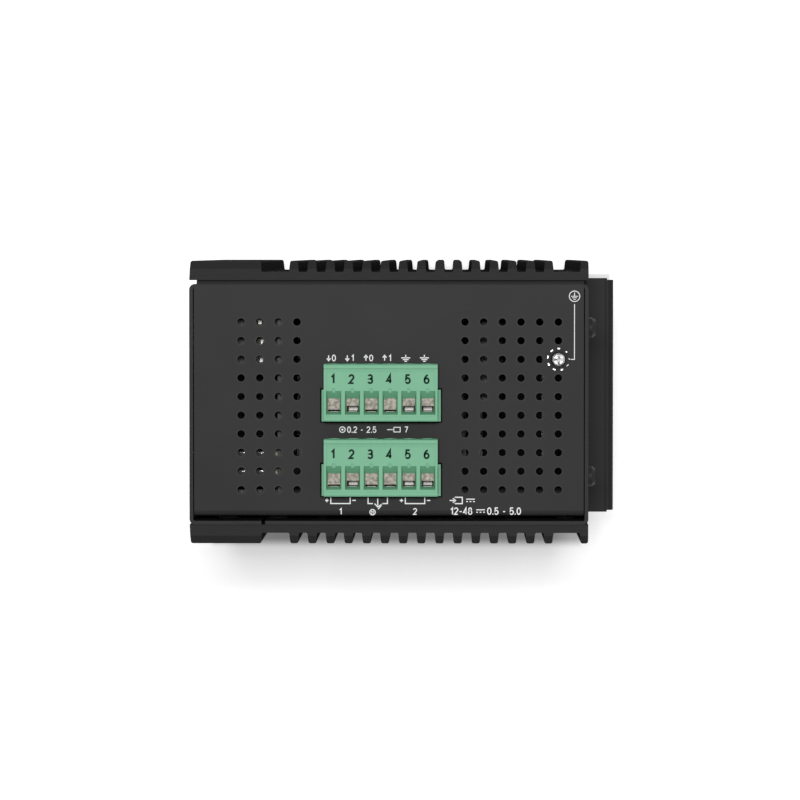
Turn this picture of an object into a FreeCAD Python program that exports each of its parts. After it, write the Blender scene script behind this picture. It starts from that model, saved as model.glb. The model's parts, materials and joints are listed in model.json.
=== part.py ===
import FreeCAD, Part
import math
import os

from FreeCAD import Vector

# DIN rail Ethernet switch: folded sheet case, two finned side panels, pluggable terminals, rail latch.
# Millimetres. +Z is up (the terminal end), -Y is the front with the ports, +Y is the rail side.
# The origin is the middle of the overall footprint, on the flat bottom end that it stands on.

# ---------------------------------------------------------------- case
body_depth = 107.0         # front face to rear face
body_height = 152.0        # bottom end to top end
sheet = 1.0                # case sheet
bend_outer = 1.5           # outer bend radius of the sheet
seam = 0.25                # open seam between two sheets
slip = 0.05                # play between two faces that lie on each other
side_gap = 1.4             # open slot along the cover's right edge
cover_flange = 6.0         # turned-down edge of the cover
front_return = 19.3        # right return of the front plate
return_notch = 1.0         # open notch between that return and the chassis side
left_return = 14.0         # left returns of the front plate and of the chassis
cover_side_setback = 2.0   # the cover's left side starts this far behind the front face

# ---------------------------------------------------------------- finned side panels
panel_thick = 5.2
panel_base = 2.2
panel_end_gap = 0.5        # panels stop short of both ends of the case
panel_end_chamfer = 2.2
panel_pad = 19.4           # flat pad along the front
panel_land = 7.6           # flat land between pad and fins, and between fins and end fin
fin_root = 2.6
fin_tip = 2.1
fin_pitch = 4.9            # nominal, the fins share the space evenly
fin_tip_radius = 0.6
fin_root_radius = 0.4
end_fin = 2.0

# ---------------------------------------------------------------- vents
vent_radius = 1.0
vent_pitch = 5.0
vent_row_start = 11.2      # first row from the case's left side
vent_row_margin = 9.0      # free strip at the right side
vent_front_start = 13.9    # first column from the front face
vent_rear_margin = 8.1     # last column from the rear face
vent_clearance = 3.0       # vents keep this far from the terminal sockets
bottom_slot_width = 2.0

# ---------------------------------------------------------------- fasteners
screw_radius = 1.5         # M3
screw_clearance = 0.1
countersink_radius = 2.75
nut_radius = 2.75
nut_height = 2.0
pan_head_radius = 2.7
pan_head_height = 2.0
pan_head_rim = 0.55        # upright rim as a share of the head's height
pan_head_crown = 0.75      # flat top as a share of the head's radius
fastener_inset = 14.0      # panel screws from both ends
cover_tab_width = 12.0
cover_tab_height = 11.0
cover_tab_x = 20.0
case_screw_inset = 6.0     # rear case screws from both ends

# ---------------------------------------------------------------- earth screw
earth_x = -11.6
earth_from_rear = 8.1
earth_head_radius = 2.2
earth_head_height = 1.5
washer_radius = 3.1
washer_root = 2.5
washer_thick = 0.5
washer_teeth = 9
washer_tooth = (0.25, 0.6, 0.85)   # start of a tooth's top, its end and its foot, as shares of the pitch
earth_head_crown = 0.72    # flat top of the head as a share of its radius
earth_head_round = 0.7
cross_width = 0.6
cross_length = 2.7
cross_depth = 0.9

# ---------------------------------------------------------------- boards
board = 1.6
front_to_port_board = 23.4
port_board_side = 3.0      # free strip beside the port board
port_board_margin = 4.7    # port board below the lowest jacks
port_board_top_gap = 6.0
side_board_offset = 6.2    # side boards from the case sides
main_board_top_gap = 19.0
main_board_bottom = 6.0
main_board_rear_gap = 4.0
power_board_rear_gap = 14.0
board_running_gap = 0.6
board_screw_room = 2.0     # side boards stay this far behind the port board
standoff_radius = 2.2
standoff_bore = 1.3
board_screw_radius = 1.2
board_screw_head = 2.1
board_screw_head_height = 1.4
board_screw_reach = 4.0    # screw beyond the board
standoff_jack_gap = 0.3    # port board's spacers from the jacks
standoff_case_gap = 0.8    # the same from the board's right edge
standoff_edge = 1.8        # spacer from the port board's upper and lower edges
standoff_low = 3.0         # side boards' spacers from their lower edge
standoff_high = 6.0        # the same from their upper edge
standoff_rear = 5.0        # the same from the power board's rear edge
terminal_standoff_edge = 0.4

# ---------------------------------------------------------------- ports
jack_width = 16.2
jack_height = 14.6
jack_side_room = 8.1       # from the case side to the first column of jacks
jack_gap_x = 1.8           # between the two columns
jack_gap_z = 2.9           # between two rows
port_rows = 4
port_drop = 37.5           # first row below the top end
console_drop = 18.0        # console jack below the top end
shield_wall = 0.3
lamp_window_width = 3.4
lamp_window_height = 1.9
lamp_window_from_side = 1.3
lamp_window_from_top = 1.0
jack_mouth_width = 11.9
jack_mouth_height = 6.9
jack_mouth_depth = 12.8
jack_latch_width = 6.2
jack_latch_height = 1.7
jack_key_width = 3.4
jack_key_height = 1.2
window_gap = 0.15
recess = 0.2               # jacks and cages stand this far behind the front face
cage_gap_x = 3.7           # between the jacks and the module cages
cage_width = 14.5
cage_height = 9.8
cage_length = 47.8
cage_wall = 0.4
cage_count = 2
cage_first_z = 20.5
cage_pitch_z = 18.0
cage_board_margin = 3.65   # main board's front part above the top cage
cage_latch_depth = 9.6     # module latch hole behind the cage's mouth
cage_latch_side = 2.6
cage_vent_radius = 0.9
cage_vent_pitch = 4.0
cage_vent_count = 6
socket_width = 11.6
socket_height = 6.4
socket_length = 9.0
socket_slot = 1.4          # slot for the module's card edge
socket_slot_depth = 5.5
socket_slot_end = 1.2

# ---------------------------------------------------------------- indicators and reset button
pipe_radius = 1.25
pipe_from_jack = 3.5       # first column beside the jacks
pipe_pitch_x = 5.0
pipe_pitch_z = 6.0
pipe_drop = 12.0           # first row below the top end
pipe_rows_count = 4
led_side = 1.8
led_height = 0.8
led_gap = 0.2              # between a lamp and its light pipe
holder_thick = 4.0
holder_from_front = 8.0
holder_margin = 3.0
holder_leg = 2.0
reset_drop = 39.0          # reset button below the top end
reset_radius = 1.6
reset_gap = 0.2
reset_recess = 0.5
reset_travel = 0.3
reset_flange = 0.6         # flange beyond the stem's radius
reset_flange_thick = 1.0
switch_side = 6.0
switch_height = 3.4
plunger_radius = 1.7
plunger_height = 1.6
plunger_gap = 0.08
plunger_spare = 0.3        # bore below the pressed plunger

# ---------------------------------------------------------------- terminals
poles = 6
pole_pitch = 5.0
terminal_from_front = 51.45
terminal_from_right = 12.0 # second socket's middle from the case's right side
terminal_pitch_x = 20.0
header_width = 8.5
header_end = 0.8           # socket wall beyond the plug at each end
header_wall = 0.9
header_floor = 3.0
header_stand = 0.2         # socket rim above the cover
header_key = 2.0           # width of a key groove in the socket's long wall
plug_extra = 0.3
plug_play = 0.1
cutout_gap = 0.4
plug_width = 15.3
plug_height = 8.0          # plug face above the cover
plug_overhang = 11.3       # from the socket's middle to the plug's far side
plug_lift = 0.5            # plug shoulder above the cover
plug_insert = 10.0         # tongue below the cover's face
plug_rim_end = 0.65        # rim left at each end of the sunk number panel
plug_rim_side = 1.2        # rim left along the socket side
plug_panel_depth = 0.25
plug_edge = 0.5            # rounding of the plug's top edges
plug_far_round = 0.4
plug_near_round = 0.3
tongue_chamfer = 0.6
funnel_top = 6.6
funnel_from_edge = 6.9
funnel_depth = 2.8
funnel_wide = 4.1
funnel_far_slope = 2.6     # the long slope that guides the wire, from the far edge
funnel_near_slope = 0.9
funnel_run_in = 0.4        # funnel's foot inside the clamp pocket
funnel_notch = 0.8         # screwdriver notch in the middle of each funnel's far edge
clamp_pocket_y = 4.3
clamp_pocket_x = 7.8
clamp_floor = 0.4           # floor of the clamp pocket above the plug's shoulder
clamp_play = 0.1
clamp_wall = 0.5
clamp_closed = 0.45        # wire room that a closed clamp leaves at the current bar
clamp_opened = 1.45        # wire room of an opened clamp
open_poles = (1, 4, 5)
clamp_thread = 3.0         # screw inside the clamp's block
clamp_screw_radius = 1.25
clamp_head_radius = 1.7
clamp_bore_radius = 1.85
clamp_screw_drop = 4.8     # screw axis below the plug face
clamp_head_recess = 1.6
clamp_head_height = 1.7
clamp_slot = 0.5
clamp_slot_depth = 0.8
pin_side = 1.0
pin_top_gap = 2.4
pin_tail = 2.0             # pin below the terminal board
contact_leaf = 0.4
contact_leaf_width = 2.0
contact_end_gap = 0.8      # leaves stop above the tongue's end
contact_top_gap = 0.3      # bridge above the pin
contact_slot_far = 1.3     # slot in the tongue, from the socket's middle
contact_slot_near = 2.4
contact_slot_width = 3.2
contact_slot_over = 0.5    # slot above the clamp pocket's floor
bar_thick = 0.8
bar_width = 2.4
groove_from_edge = 1.1
groove_width = 0.35
groove_depth = 0.4
socket_board_drop = 13.0   # terminal board's face below the cover's face
terminal_board_margin_y = 6.0
terminal_board_gap = 8.0   # between the power board and the terminal board
terminal_board_over = 5.0  # terminal board past the main board's inner face

# ---------------------------------------------------------------- rail bracket and latch
bracket_stand = 9.0        # bracket's outer face behind the case
bracket_width = 66.0
bracket_sheet = 1.3
bracket_bend = 1.6
bracket_top_drop = 58.0    # bracket's top below the case's top
bracket_height = 60.0
hook_depth = 5.0
hook_side_relief = 0.5
hook_round = 0.3
rail_height = 35.0
rail_play = 0.7
rail_slot = 1.8            # room for the rail's edge between seat and hook
guide_sheet = 1.2
guide_foot = 8.6
guide_below = 0.8          # guide beyond the rail's lower edge
guide_above = 0.4
guide_crown_round = 1.2
guide_foot_round = 0.4
latch_width = 24.0
latch_play = 0.15
latch_hook_cover = 2.5
latch_hook_leg = 2.3
latch_hook_gap = 1.3       # hook's floor below the rail's edge
latch_hook_root = 0.5      # hook's root inside the latch plate
latch_hook_ramp = (1.2, 2.4)
latch_hook_round = 0.4
latch_corner = 2.0
latch_top_corner = 1.0
latch_travel = 4.5
latch_tail = 10.0          # pull tab below the bracket
latch_slot_width = 8.0
latch_slot_height = 4.0
latch_slot_low = 2.5       # pull slot above the tab's end
latch_slot_corner = 1.0
latch_window_play = 0.2
latch_head = 2.6
spring_radius = 1.3
spring_wire = 0.35
spring_turns = 7
spring_length = 18.8
stop_thick = 1.2
stop_width = 4.0
stop_play = 0.1
stop_height = 7.0          # stop above the rail's lower edge
stop_root = 0.2            # stop's root inside the web
rivet_radius = 1.5
rivet_head_radius = 2.5
rivet_head_height = 0.8
rivet_row_from_end = 8.0
bracket_screw_x = 27.5
bracket_screw_inset = 8.0
kit_hole_radius = 1.5
kit_hole_x = 24.0
kit_hole_inset = 22.0
kit_collar = 1.0

# ---------------------------------------------------------------- inner parts
chip_side = 25.0
chip_height = 2.4
chip_y = 5.0
chip_drop = 64.0           # middle of the main chip below the top end
heat_block_over = 4.0      # block beyond the chip on each side
heat_block_corner = 1.5
pad_thick = 1.0
capacitor_radius = 5.5
capacitor_groove_from_end = 1.5
capacitor_groove_width = 1.2
capacitor_groove_depth = 0.5
capacitor_length = 27.0
capacitor_drop = 27.0      # first can below the top end
capacitor_pitch = 13.0
capacitor_count = 3
capacitor_end = 0.6        # chamfer of the can's free end
transformer_side = 20.0
transformer_depth = 16.0
transformer_bobbin = 1.0   # flange on the board
transformer_over = 2.0     # flange beyond the core
transformer_notch = (5.0, 4.0)     # winding window: free strip in front, and depth from each side
choke_radius = 9.0
choke_hole = 4.0
choke_width = 8.0
choke_chamfer = 1.2
power_device_width = 10.0
power_device_height = 14.0
power_device_drop = 102.0  # foot of the lowest transistor below the top end
power_device_count = 4
power_y = -5.0             # middle of the transistors, transformer and choke
transformer_drop = 52.0
choke_drop = 86.0
power_device_pitch = 16.0
link_depth = 6.0
link_height = 8.0
link_length = 30.0
link_edge = 1.0            # link from the terminal board's rear edge
link_over = 3.0            # power link under the terminal board

# ---------------------------------------------------------------- places worked out from these
right_stack = cage_height + board + side_board_offset
body_width = 2 * sheet + jack_side_room + 2 * jack_width + jack_gap_x + cage_gap_x + right_stack
overall_depth = body_depth + bracket_stand
front_y = -overall_depth / 2
rear_y = front_y + body_depth
back_y = rear_y + bracket_stand
left_x = -body_width / 2
right_x = body_width / 2
bend_inner = bend_outer - sheet
return_outer_x = left_x + sheet + slip
cover_front_y = front_y + sheet + seam
cover_rear_y = rear_y - sheet - seam
cover_right_x = right_x - sheet - side_gap
port_board_y = front_y + front_to_port_board
main_board_x = right_x - sheet - side_board_offset - board
power_board_x = left_x + sheet + side_board_offset
main_board_top = body_height - main_board_top_gap
main_board_rear = rear_y - sheet - main_board_rear_gap
power_board_rear = rear_y - sheet - power_board_rear_gap
port_board_top = body_height - port_board_top_gap
first_jack_x = left_x + sheet + jack_side_room + jack_width / 2
port_columns = (first_jack_x, first_jack_x + jack_width + jack_gap_x)
port_top_z = body_height - port_drop
port_z = [port_top_z - i * (jack_height + jack_gap_z) for i in range(port_rows)]
port_board_bottom = port_z[-1] - jack_height / 2 - port_board_margin
console_z = body_height - console_drop
cage_z = [cage_first_z + i * cage_pitch_z for i in range(cage_count)]
cage_top = cage_z[-1] + cage_width / 2
main_board_step = cage_top + cage_board_margin
port_board_right_bottom = max(port_board_bottom, main_board_step + board_running_gap)
pipe_first_x = port_columns[1] + jack_width / 2 + pipe_from_jack
pipe_columns = (pipe_first_x, pipe_first_x + pipe_pitch_x)
pipe_rows = [body_height - pipe_drop - i * pipe_pitch_z for i in range(pipe_rows_count)]
reset_x = pipe_first_x + pipe_pitch_x / 2
reset_z = body_height - reset_drop
chip_z = body_height - chip_drop
capacitor_z = body_height - capacitor_drop
power_device_z = body_height - power_device_drop
transformer_z = body_height - transformer_drop
choke_z = body_height - choke_drop
terminal_x = (right_x - terminal_from_right - terminal_pitch_x, right_x - terminal_from_right)
terminal_y = front_y + terminal_from_front
plug_length = poles * pole_pitch + plug_extra
header_length = plug_length + 2 * header_end
plug_face_z = body_height + plug_height
plug_shoulder_z = body_height + plug_lift
plug_bottom_z = body_height - plug_insert
header_top_z = body_height + header_stand
terminal_board_z = body_height - socket_board_drop
header_floor_z = terminal_board_z + header_floor
terminal_board_front = terminal_y - header_length / 2 - terminal_board_margin_y
terminal_board_rear = terminal_y + header_length / 2 + terminal_board_margin_y
terminal_board_left = power_board_x + board + terminal_board_gap
terminal_board_right = main_board_x + terminal_board_over
earth_y = rear_y - earth_from_rear
bracket_top = body_height - bracket_top_drop
bracket_bottom = bracket_top - bracket_height
web_y = rear_y + bracket_sheet
lip_y = back_y - bracket_sheet
seat_y = lip_y - rail_slot
rail_top = bracket_top - bracket_sheet - rail_play
rail_bottom = rail_top - rail_height
latch_thick = seat_y - guide_sheet - web_y - 2 * latch_play
latch_y = web_y + latch_play
stop_z = rail_bottom + stop_height
spring_seat_z = stop_z + stop_thick
pole_y = [terminal_y + (i - (poles - 1) / 2) * pole_pitch for i in range(poles)]
panel_screw_z = (fastener_inset, body_height - fastener_inset)
panel_screw_depth = (panel_pad / 2, panel_pad + panel_land / 2, body_depth - end_fin - panel_land / 2)


# ---------------------------------------------------------------- drawing helpers
def box(x0, x1, y0, y1, z0, z1):
    """A block between two corners."""
    return Part.makeBox(x1 - x0, y1 - y0, z1 - z0, Vector(x0, y0, z0))


def rod(start, direction, radius, length):
    """A round bar from a point along a direction."""
    return Part.makeCylinder(radius, length, Vector(*start), Vector(*direction))


def corner_points(before, here, after, radius):
    """Start, middle and end of the arc that rounds one corner of an outline."""
    to_before = (before - here).normalize()
    to_after = (after - here).normalize()
    half = to_before.getAngle(to_after) / 2
    cut = radius / math.tan(half)
    centre = here + (to_before + to_after).normalize() * (radius / math.sin(half))
    middle = centre + (here - centre).normalize() * radius
    return here + to_before * cut, middle, here + to_after * cut


def outline(points, lift):
    """A closed face from (u, v) or (u, v, radius) corners, placed in space by lift(u, v)."""
    corners = [lift(p[0], p[1]) for p in points]
    radii = [p[2] if len(p) > 2 else 0 for p in points]
    edges = []
    starts = []
    ends = []
    for i, here in enumerate(corners):
        before = corners[i - 1]
        after = corners[(i + 1) % len(corners)]
        if radii[i]:
            start, middle, end = corner_points(before, here, after, radii[i])
            edges.append(Part.Arc(start, middle, end).toShape())
        else:
            start = end = here
        starts.append(start)
        ends.append(end)
    for i in range(len(corners)):
        edges.append(Part.LineSegment(ends[i - 1], starts[i]).toShape())
    wire = Part.Wire(Part.__sortEdges__(edges))
    return Part.Face(wire)


def along_z(points, z0, z1):
    """An (x, y) outline drawn up from z0 to z1."""
    return outline(points, lambda u, v: Vector(u, v, z0)).extrude(Vector(0, 0, z1 - z0))


def along_y(points, y0, y1):
    """An (x, z) outline drawn back from y0 to y1."""
    return outline(points, lambda u, v: Vector(u, y0, v)).extrude(Vector(0, y1 - y0, 0))


def along_x(points, x0, x1):
    """A (y, z) outline drawn across from x0 to x1."""
    return outline(points, lambda u, v: Vector(x0, u, v)).extrude(Vector(x1 - x0, 0, 0))


def union(shapes):
    """One solid from pieces that share faces or overlap."""
    return shapes[0].fuse(list(shapes[1:])).removeSplitter()


def group(solids):
    """Separate identical solids kept as one node."""
    return Part.makeCompound(list(solids))


def mirrored(shape):
    """The shape's mirror image across the middle plane."""
    return shape.mirror(Vector(0, 0, 0), Vector(1, 0, 0))


# ---------------------------------------------------------------- folded sheets
def front_openings():
    """Everything that passes through the front plate."""
    y0 = front_y - 1
    y1 = front_y + sheet + 1
    half_w = jack_width / 2 + window_gap
    half_h = jack_height / 2 + window_gap
    cuts = [box(x - half_w, x + half_w, y0, y1, z - half_h, z + half_h) for x, z in jack_places()]
    for z in cage_z:
        x0 = main_board_x - cage_height - window_gap
        half = cage_width / 2 + window_gap
        cuts.append(box(x0, main_board_x + window_gap, y0, y1, z - half, z + half))
    for x in pipe_columns:
        for z in pipe_rows:
            cuts.append(rod((x, y0, z), (0, 1, 0), pipe_radius + window_gap, y1 - y0))
    cuts.append(rod((reset_x, y0, reset_z), (0, 1, 0), reset_radius + reset_gap, y1 - y0))
    return cuts


def panel_screw_holes(side, reach, depths):
    """Clearance holes for the side panel screws through one side of the case."""
    outer = left_x if side < 0 else right_x
    start = outer - side * reach
    cuts = []
    for depth in depths:
        for z in panel_screw_z:
            place = (start, front_y + depth, z)
            cuts.append(rod(place, (side, 0, 0), screw_radius + screw_clearance, reach + 1))
    return cuts


def front_panel():
    """Front plate with its long right return and short left return."""
    inner = front_y + sheet
    profile = [
        (return_outer_x, front_y + left_return),
        (return_outer_x, front_y, bend_outer),
        (right_x, front_y, bend_outer),
        (right_x, front_y + front_return),
        (right_x - sheet, front_y + front_return),
        (right_x - sheet, inner, bend_inner),
        (return_outer_x + sheet, inner, bend_inner),
        (return_outer_x + sheet, front_y + left_return),
    ]
    plate = along_z(profile, 0, body_height)
    clear = sheet + bend_inner + slip
    relief_x = return_outer_x + bend_outer + sheet
    trims = [
        box(left_x - 1, relief_x, cover_front_y - slip, front_y + left_return + 1, z0, z0 + clear + 1)
        for z0 in (-1, body_height - clear)
    ]
    cuts = front_openings() + trims
    cuts += panel_screw_holes(1, sheet + 1, panel_screw_depth[:1])
    cuts += panel_screw_holes(-1, 2 * sheet + 1, panel_screw_depth[:1])
    return plate.cut(cuts)


def rear_screw_places():
    """Rear case screws that hold the cover's four tabs."""
    levels = (case_screw_inset, body_height - case_screw_inset)
    return [(x, z) for x in (-cover_tab_x, cover_tab_x) for z in levels]


def bracket_screw_places():
    """Screws that hold the rail bracket on the rear plate."""
    levels = (bracket_bottom + bracket_screw_inset, bracket_top - bracket_screw_inset)
    return [(x, z) for x in (-bracket_screw_x, bracket_screw_x) for z in levels]


def kit_hole_places():
    """Threaded holes left free for a wall plate."""
    levels = (kit_hole_inset, body_height - kit_hole_inset)
    return [(x, z) for x in (-kit_hole_x, kit_hole_x) for z in levels]


def chassis():
    """Right side, rear plate and left rear return, folded from one sheet."""
    start = front_y + front_return + return_notch
    inner = rear_y - sheet
    profile = [
        (right_x, start),
        (right_x, rear_y, bend_outer),
        (return_outer_x, rear_y, bend_outer),
        (return_outer_x, rear_y - left_return),
        (return_outer_x + sheet, rear_y - left_return),
        (return_outer_x + sheet, inner, bend_inner),
        (right_x - sheet, inner, bend_inner),
        (right_x - sheet, start),
    ]
    shell = along_z(profile, 0, body_height)
    clear = sheet + bend_inner + slip
    relief_x = return_outer_x + bend_outer + sheet
    cuts = [
        box(left_x - 1, relief_x, rear_y - left_return - 1, cover_rear_y + slip, z0, z0 + clear + 1)
        for z0 in (-1, body_height - clear)
    ]
    cuts += panel_screw_holes(1, sheet + 1, panel_screw_depth[1:])
    cuts += panel_screw_holes(-1, 2 * sheet + 1, panel_screw_depth[2:])
    for x, z in rear_screw_places() + bracket_screw_places():
        hole = rod((x, inner - 1, z), (0, 1, 0), screw_radius + screw_clearance, sheet + 2)
        cuts.append(hole)
    collars = []
    for x, z in kit_hole_places():
        collars.append(rod((x, inner - kit_collar, z), (0, 1, 0), kit_hole_radius + sheet, kit_collar))
        cuts.append(rod((x, inner - kit_collar - 1, z), (0, 1, 0), kit_hole_radius, sheet + kit_collar + 2))
    return shell.fuse(collars).cut(cuts).removeSplitter()


def vent_columns():
    """Depth positions of the vent columns: a group in front of the terminals, one behind."""
    reach = header_length / 2 + vent_clearance
    first = front_y + vent_front_start
    last = rear_y - vent_rear_margin
    front_count = int((terminal_y - reach - first) // vent_pitch) + 1
    rear_count = int((last - terminal_y - reach) // vent_pitch) + 1
    front = [first + i * vent_pitch for i in range(front_count)]
    rear = [last - i * vent_pitch for i in reversed(range(rear_count))]
    return front + rear


def vent_rows():
    """Sideways positions of the vent rows."""
    free = body_width - vent_row_start - vent_row_margin
    count = int(free // vent_pitch) + 1
    return [left_x + vent_row_start + i * vent_pitch for i in range(count)]


def top_vents():
    """Round holes in the cover's top; the earth screw takes one place."""
    cuts = []
    for y in vent_columns():
        for x in vent_rows():
            if math.hypot(x - earth_x, y - earth_y) > washer_radius + vent_radius:
                cuts.append(rod((x, y, body_height - sheet - 1), (0, 0, 1), vent_radius, sheet + 2))
    return cuts


def bottom_vents():
    """Long intake slots in the cover's bottom, two to a column."""
    rows = vent_rows()
    middle = (rows[0] + rows[-1]) / 2
    half = bottom_slot_width / 2
    spans = ((rows[0] - half, middle - 2 * half), (middle + 2 * half, rows[-1] + half))
    cuts = []
    for y in vent_columns():
        for x0, x1 in spans:
            ends = [
                (x0, y - half, half * 0.99),
                (x1, y - half, half * 0.99),
                (x1, y + half, half * 0.99),
                (x0, y + half, half * 0.99),
            ]
            cuts.append(along_z(ends, -1, sheet + 1))
    return cuts


def cover():
    """Top, left side and bottom, folded from one sheet, with four screw tabs at the rear."""
    profile = [
        (cover_right_x, body_height - cover_flange),
        (cover_right_x, body_height, bend_outer),
        (left_x, body_height, bend_outer),
        (left_x, 0, bend_outer),
        (cover_right_x, 0, bend_outer),
        (cover_right_x, cover_flange),
        (cover_right_x - sheet, cover_flange),
        (cover_right_x - sheet, sheet, bend_inner),
        (left_x + sheet, sheet, bend_inner),
        (left_x + sheet, body_height - sheet, bend_inner),
        (cover_right_x - sheet, body_height - sheet, bend_inner),
        (cover_right_x - sheet, body_height - cover_flange),
    ]
    shell = along_y(profile, cover_front_y, cover_rear_y)
    tabs = []
    half = cover_tab_width / 2
    for x in (-cover_tab_x, cover_tab_x):
        for z0 in (sheet / 2, body_height - sheet / 2 - cover_tab_height):
            z1 = z0 + cover_tab_height
            tabs.append(box(x - half, x + half, cover_rear_y - sheet, cover_rear_y, z0, z1))
    shell = shell.fuse(tabs)
    setback = front_y + cover_side_setback
    cuts = [box(left_x - 1, left_x + sheet + slip, cover_front_y - 1, setback, -1, body_height + 1)]
    cuts += top_vents() + bottom_vents()
    half_l = header_length / 2 + cutout_gap
    half_w = header_width / 2 + cutout_gap
    for x in terminal_x:
        cuts.append(box(x - half_w, x + half_w, terminal_y - half_l, terminal_y + half_l,
                        body_height - sheet - 1, body_height + 1))
    bore = screw_radius + screw_clearance
    cuts.append(rod((earth_x, earth_y, body_height - sheet - 1), (0, 0, 1), bore, sheet + 2))
    cuts += panel_screw_holes(-1, sheet + slip / 2, panel_screw_depth)
    for x, z in rear_screw_places():
        cuts.append(rod((x, cover_rear_y - sheet - 1, z), (0, 1, 0), bore, sheet + 2))
    return shell.cut(cuts).removeSplitter()


# ---------------------------------------------------------------- finned side panels
def fin_centres():
    """Middle of each fin from the front face."""
    first = panel_pad + panel_land + fin_tip / 2
    last = body_depth - end_fin - panel_land - fin_tip / 2
    steps = max(1, round((last - first) / fin_pitch))
    return [first + i * (last - first) / steps for i in range(steps + 1)]


def heatsink_right():
    """Cast side panel: flat pad, screw lands and upright fins with draft, ends chamfered."""
    inner = right_x
    floor = right_x + panel_base
    tip = right_x + panel_thick
    draft = (fin_root - fin_tip) / 2
    profile = [
        (inner, front_y),
        (tip, front_y + draft, fin_tip_radius),
        (tip, front_y + panel_pad - draft, fin_tip_radius),
        (floor, front_y + panel_pad, fin_root_radius),
    ]
    for centre in fin_centres():
        y = front_y + centre
        profile.append((floor, y - fin_root / 2, fin_root_radius))
        profile.append((tip, y - fin_tip / 2, fin_tip_radius))
        profile.append((tip, y + fin_tip / 2, fin_tip_radius))
        profile.append((floor, y + fin_root / 2, fin_root_radius))
    profile += [
        (floor, rear_y - end_fin - draft, fin_root_radius),
        (tip, rear_y - end_fin, fin_tip_radius),
        (tip, rear_y, fin_tip_radius),
        (inner, rear_y),
    ]
    low = panel_end_gap
    high = body_height - panel_end_gap
    blank = along_z(profile, low, high)
    keep = [
        (inner, low),
        (tip - panel_end_chamfer, low),
        (tip, low + panel_end_chamfer),
        (tip, high - panel_end_chamfer),
        (tip - panel_end_chamfer, high),
        (inner, high),
    ]
    panel = blank.common(along_y(keep, front_y - 1, rear_y + 1))
    cuts = []
    for seat, depth in zip((tip, floor, floor), panel_screw_depth):
        for z in panel_screw_z:
            cuts.append(countersunk_form(seat, front_y + depth, z, screw_clearance, panel_thick + 1))
    return panel.cut(cuts)


def countersunk_form(seat, y, z, extra, length):
    """Countersunk screw shape pointing to -X with its head flush at x = seat."""
    head = countersink_radius + extra
    shank = screw_radius + extra
    cone = head - shank
    end = seat - length
    profile = [(seat, y), (seat, y + head), (seat - cone, y + shank), (end, y + shank), (end, y)]
    face = outline(profile, lambda u, v: Vector(u, v, z))
    return face.revolve(Vector(seat, y, z), Vector(1, 0, 0), 360)


def panel_screws():
    """The right panel's screws; each reaches through the sheets into its nut."""
    tip = right_x + panel_thick
    floor = right_x + panel_base
    reach_side = sheet + nut_height
    screws = []
    for seat, depth in zip((tip, floor, floor), panel_screw_depth):
        length = seat - right_x + reach_side
        for z in panel_screw_z:
            screws.append(countersunk_form(seat, front_y + depth, z, 0, length))
    return screws


def panel_screws_left():
    """The left panel's screws, which clamp two sheets at the returns."""
    tip = right_x + panel_thick
    floor = right_x + panel_base
    screws = []
    layers = (2 * sheet + slip, sheet, 2 * sheet + slip)
    for seat, depth, layer in zip((tip, floor, floor), panel_screw_depth, layers):
        length = seat - right_x + layer + nut_height
        for z in panel_screw_z:
            screws.append(mirrored(countersunk_form(seat, front_y + depth, z, 0, length)))
    return screws


def hex_bar(start, direction, radius, length):
    """Six-sided bar, radius measured to its corners."""
    along = Vector(*direction)
    side = Vector(0, 0, 1) if abs(along.z) < 0.5 else Vector(1, 0, 0)
    ring = []
    for i in range(6):
        turned = FreeCAD.Rotation(along, 60.0 * i).multVec(side)
        ring.append(Vector(*start) + turned * radius)
    return Part.Face(Part.makePolygon(ring + ring[:1])).extrude(along * length)


def nut(start, direction):
    """Six-sided clinch nut standing on a sheet."""
    body = hex_bar(start, direction, nut_radius, nut_height)
    return body.cut(rod(start, direction, screw_radius + slip, nut_height))


def clinch_nuts():
    """Nuts for the side panels, the cover tabs, the rail bracket and the earth screw."""
    nuts = []
    layers = (2 * sheet + slip, sheet, 2 * sheet + slip)
    for depth, layer in zip(panel_screw_depth, layers):
        for z in panel_screw_z:
            nuts.append(nut((right_x - sheet, front_y + depth, z), (-1, 0, 0)))
            nuts.append(nut((left_x + layer, front_y + depth, z), (1, 0, 0)))
    for x, z in rear_screw_places():
        nuts.append(nut((x, cover_rear_y - sheet, z), (0, -1, 0)))
    for x, z in bracket_screw_places():
        nuts.append(nut((x, rear_y - sheet, z), (0, -1, 0)))
    nuts.append(nut((earth_x, earth_y, body_height - sheet), (0, 0, -1)))
    return group(nuts)


def pan_screw(x, y, z, length):
    """Pan head screw seated at y, pointing to -Y, with a cross recess."""
    r = pan_head_radius
    rim = pan_head_height * pan_head_rim
    head = [(0, 0), (r, 0), (r, rim), (r * pan_head_crown, pan_head_height), (0, pan_head_height)]
    face = outline(head, lambda u, v: Vector(x + u, y + v, z))
    body = face.revolve(Vector(x, y, z), Vector(0, 1, 0), 360)
    body = body.fuse(rod((x, y, z), (0, -1, 0), screw_radius, length))
    return body.cut(cross_recess((x, y + pan_head_height, z), "y"))


def cross_recess(top, axis):
    """Two crossed slots below a screw head's top."""
    x, y, z = top
    a = cross_width / 2
    b = cross_length / 2
    if axis == "z":
        return [box(x - b, x + b, y - a, y + a, z - cross_depth, z + 1),
                box(x - a, x + a, y - b, y + b, z - cross_depth, z + 1)]
    return [box(x - b, x + b, y - cross_depth, y + 1, z - a, z + a),
            box(x - a, x + a, y - cross_depth, y + 1, z - b, z + b)]


def case_screws():
    """Rear screws through the rear plate into the cover's tabs."""
    length = sheet + seam + sheet + nut_height
    return group([pan_screw(x, rear_y, z, length) for x, z in rear_screw_places()])


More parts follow.
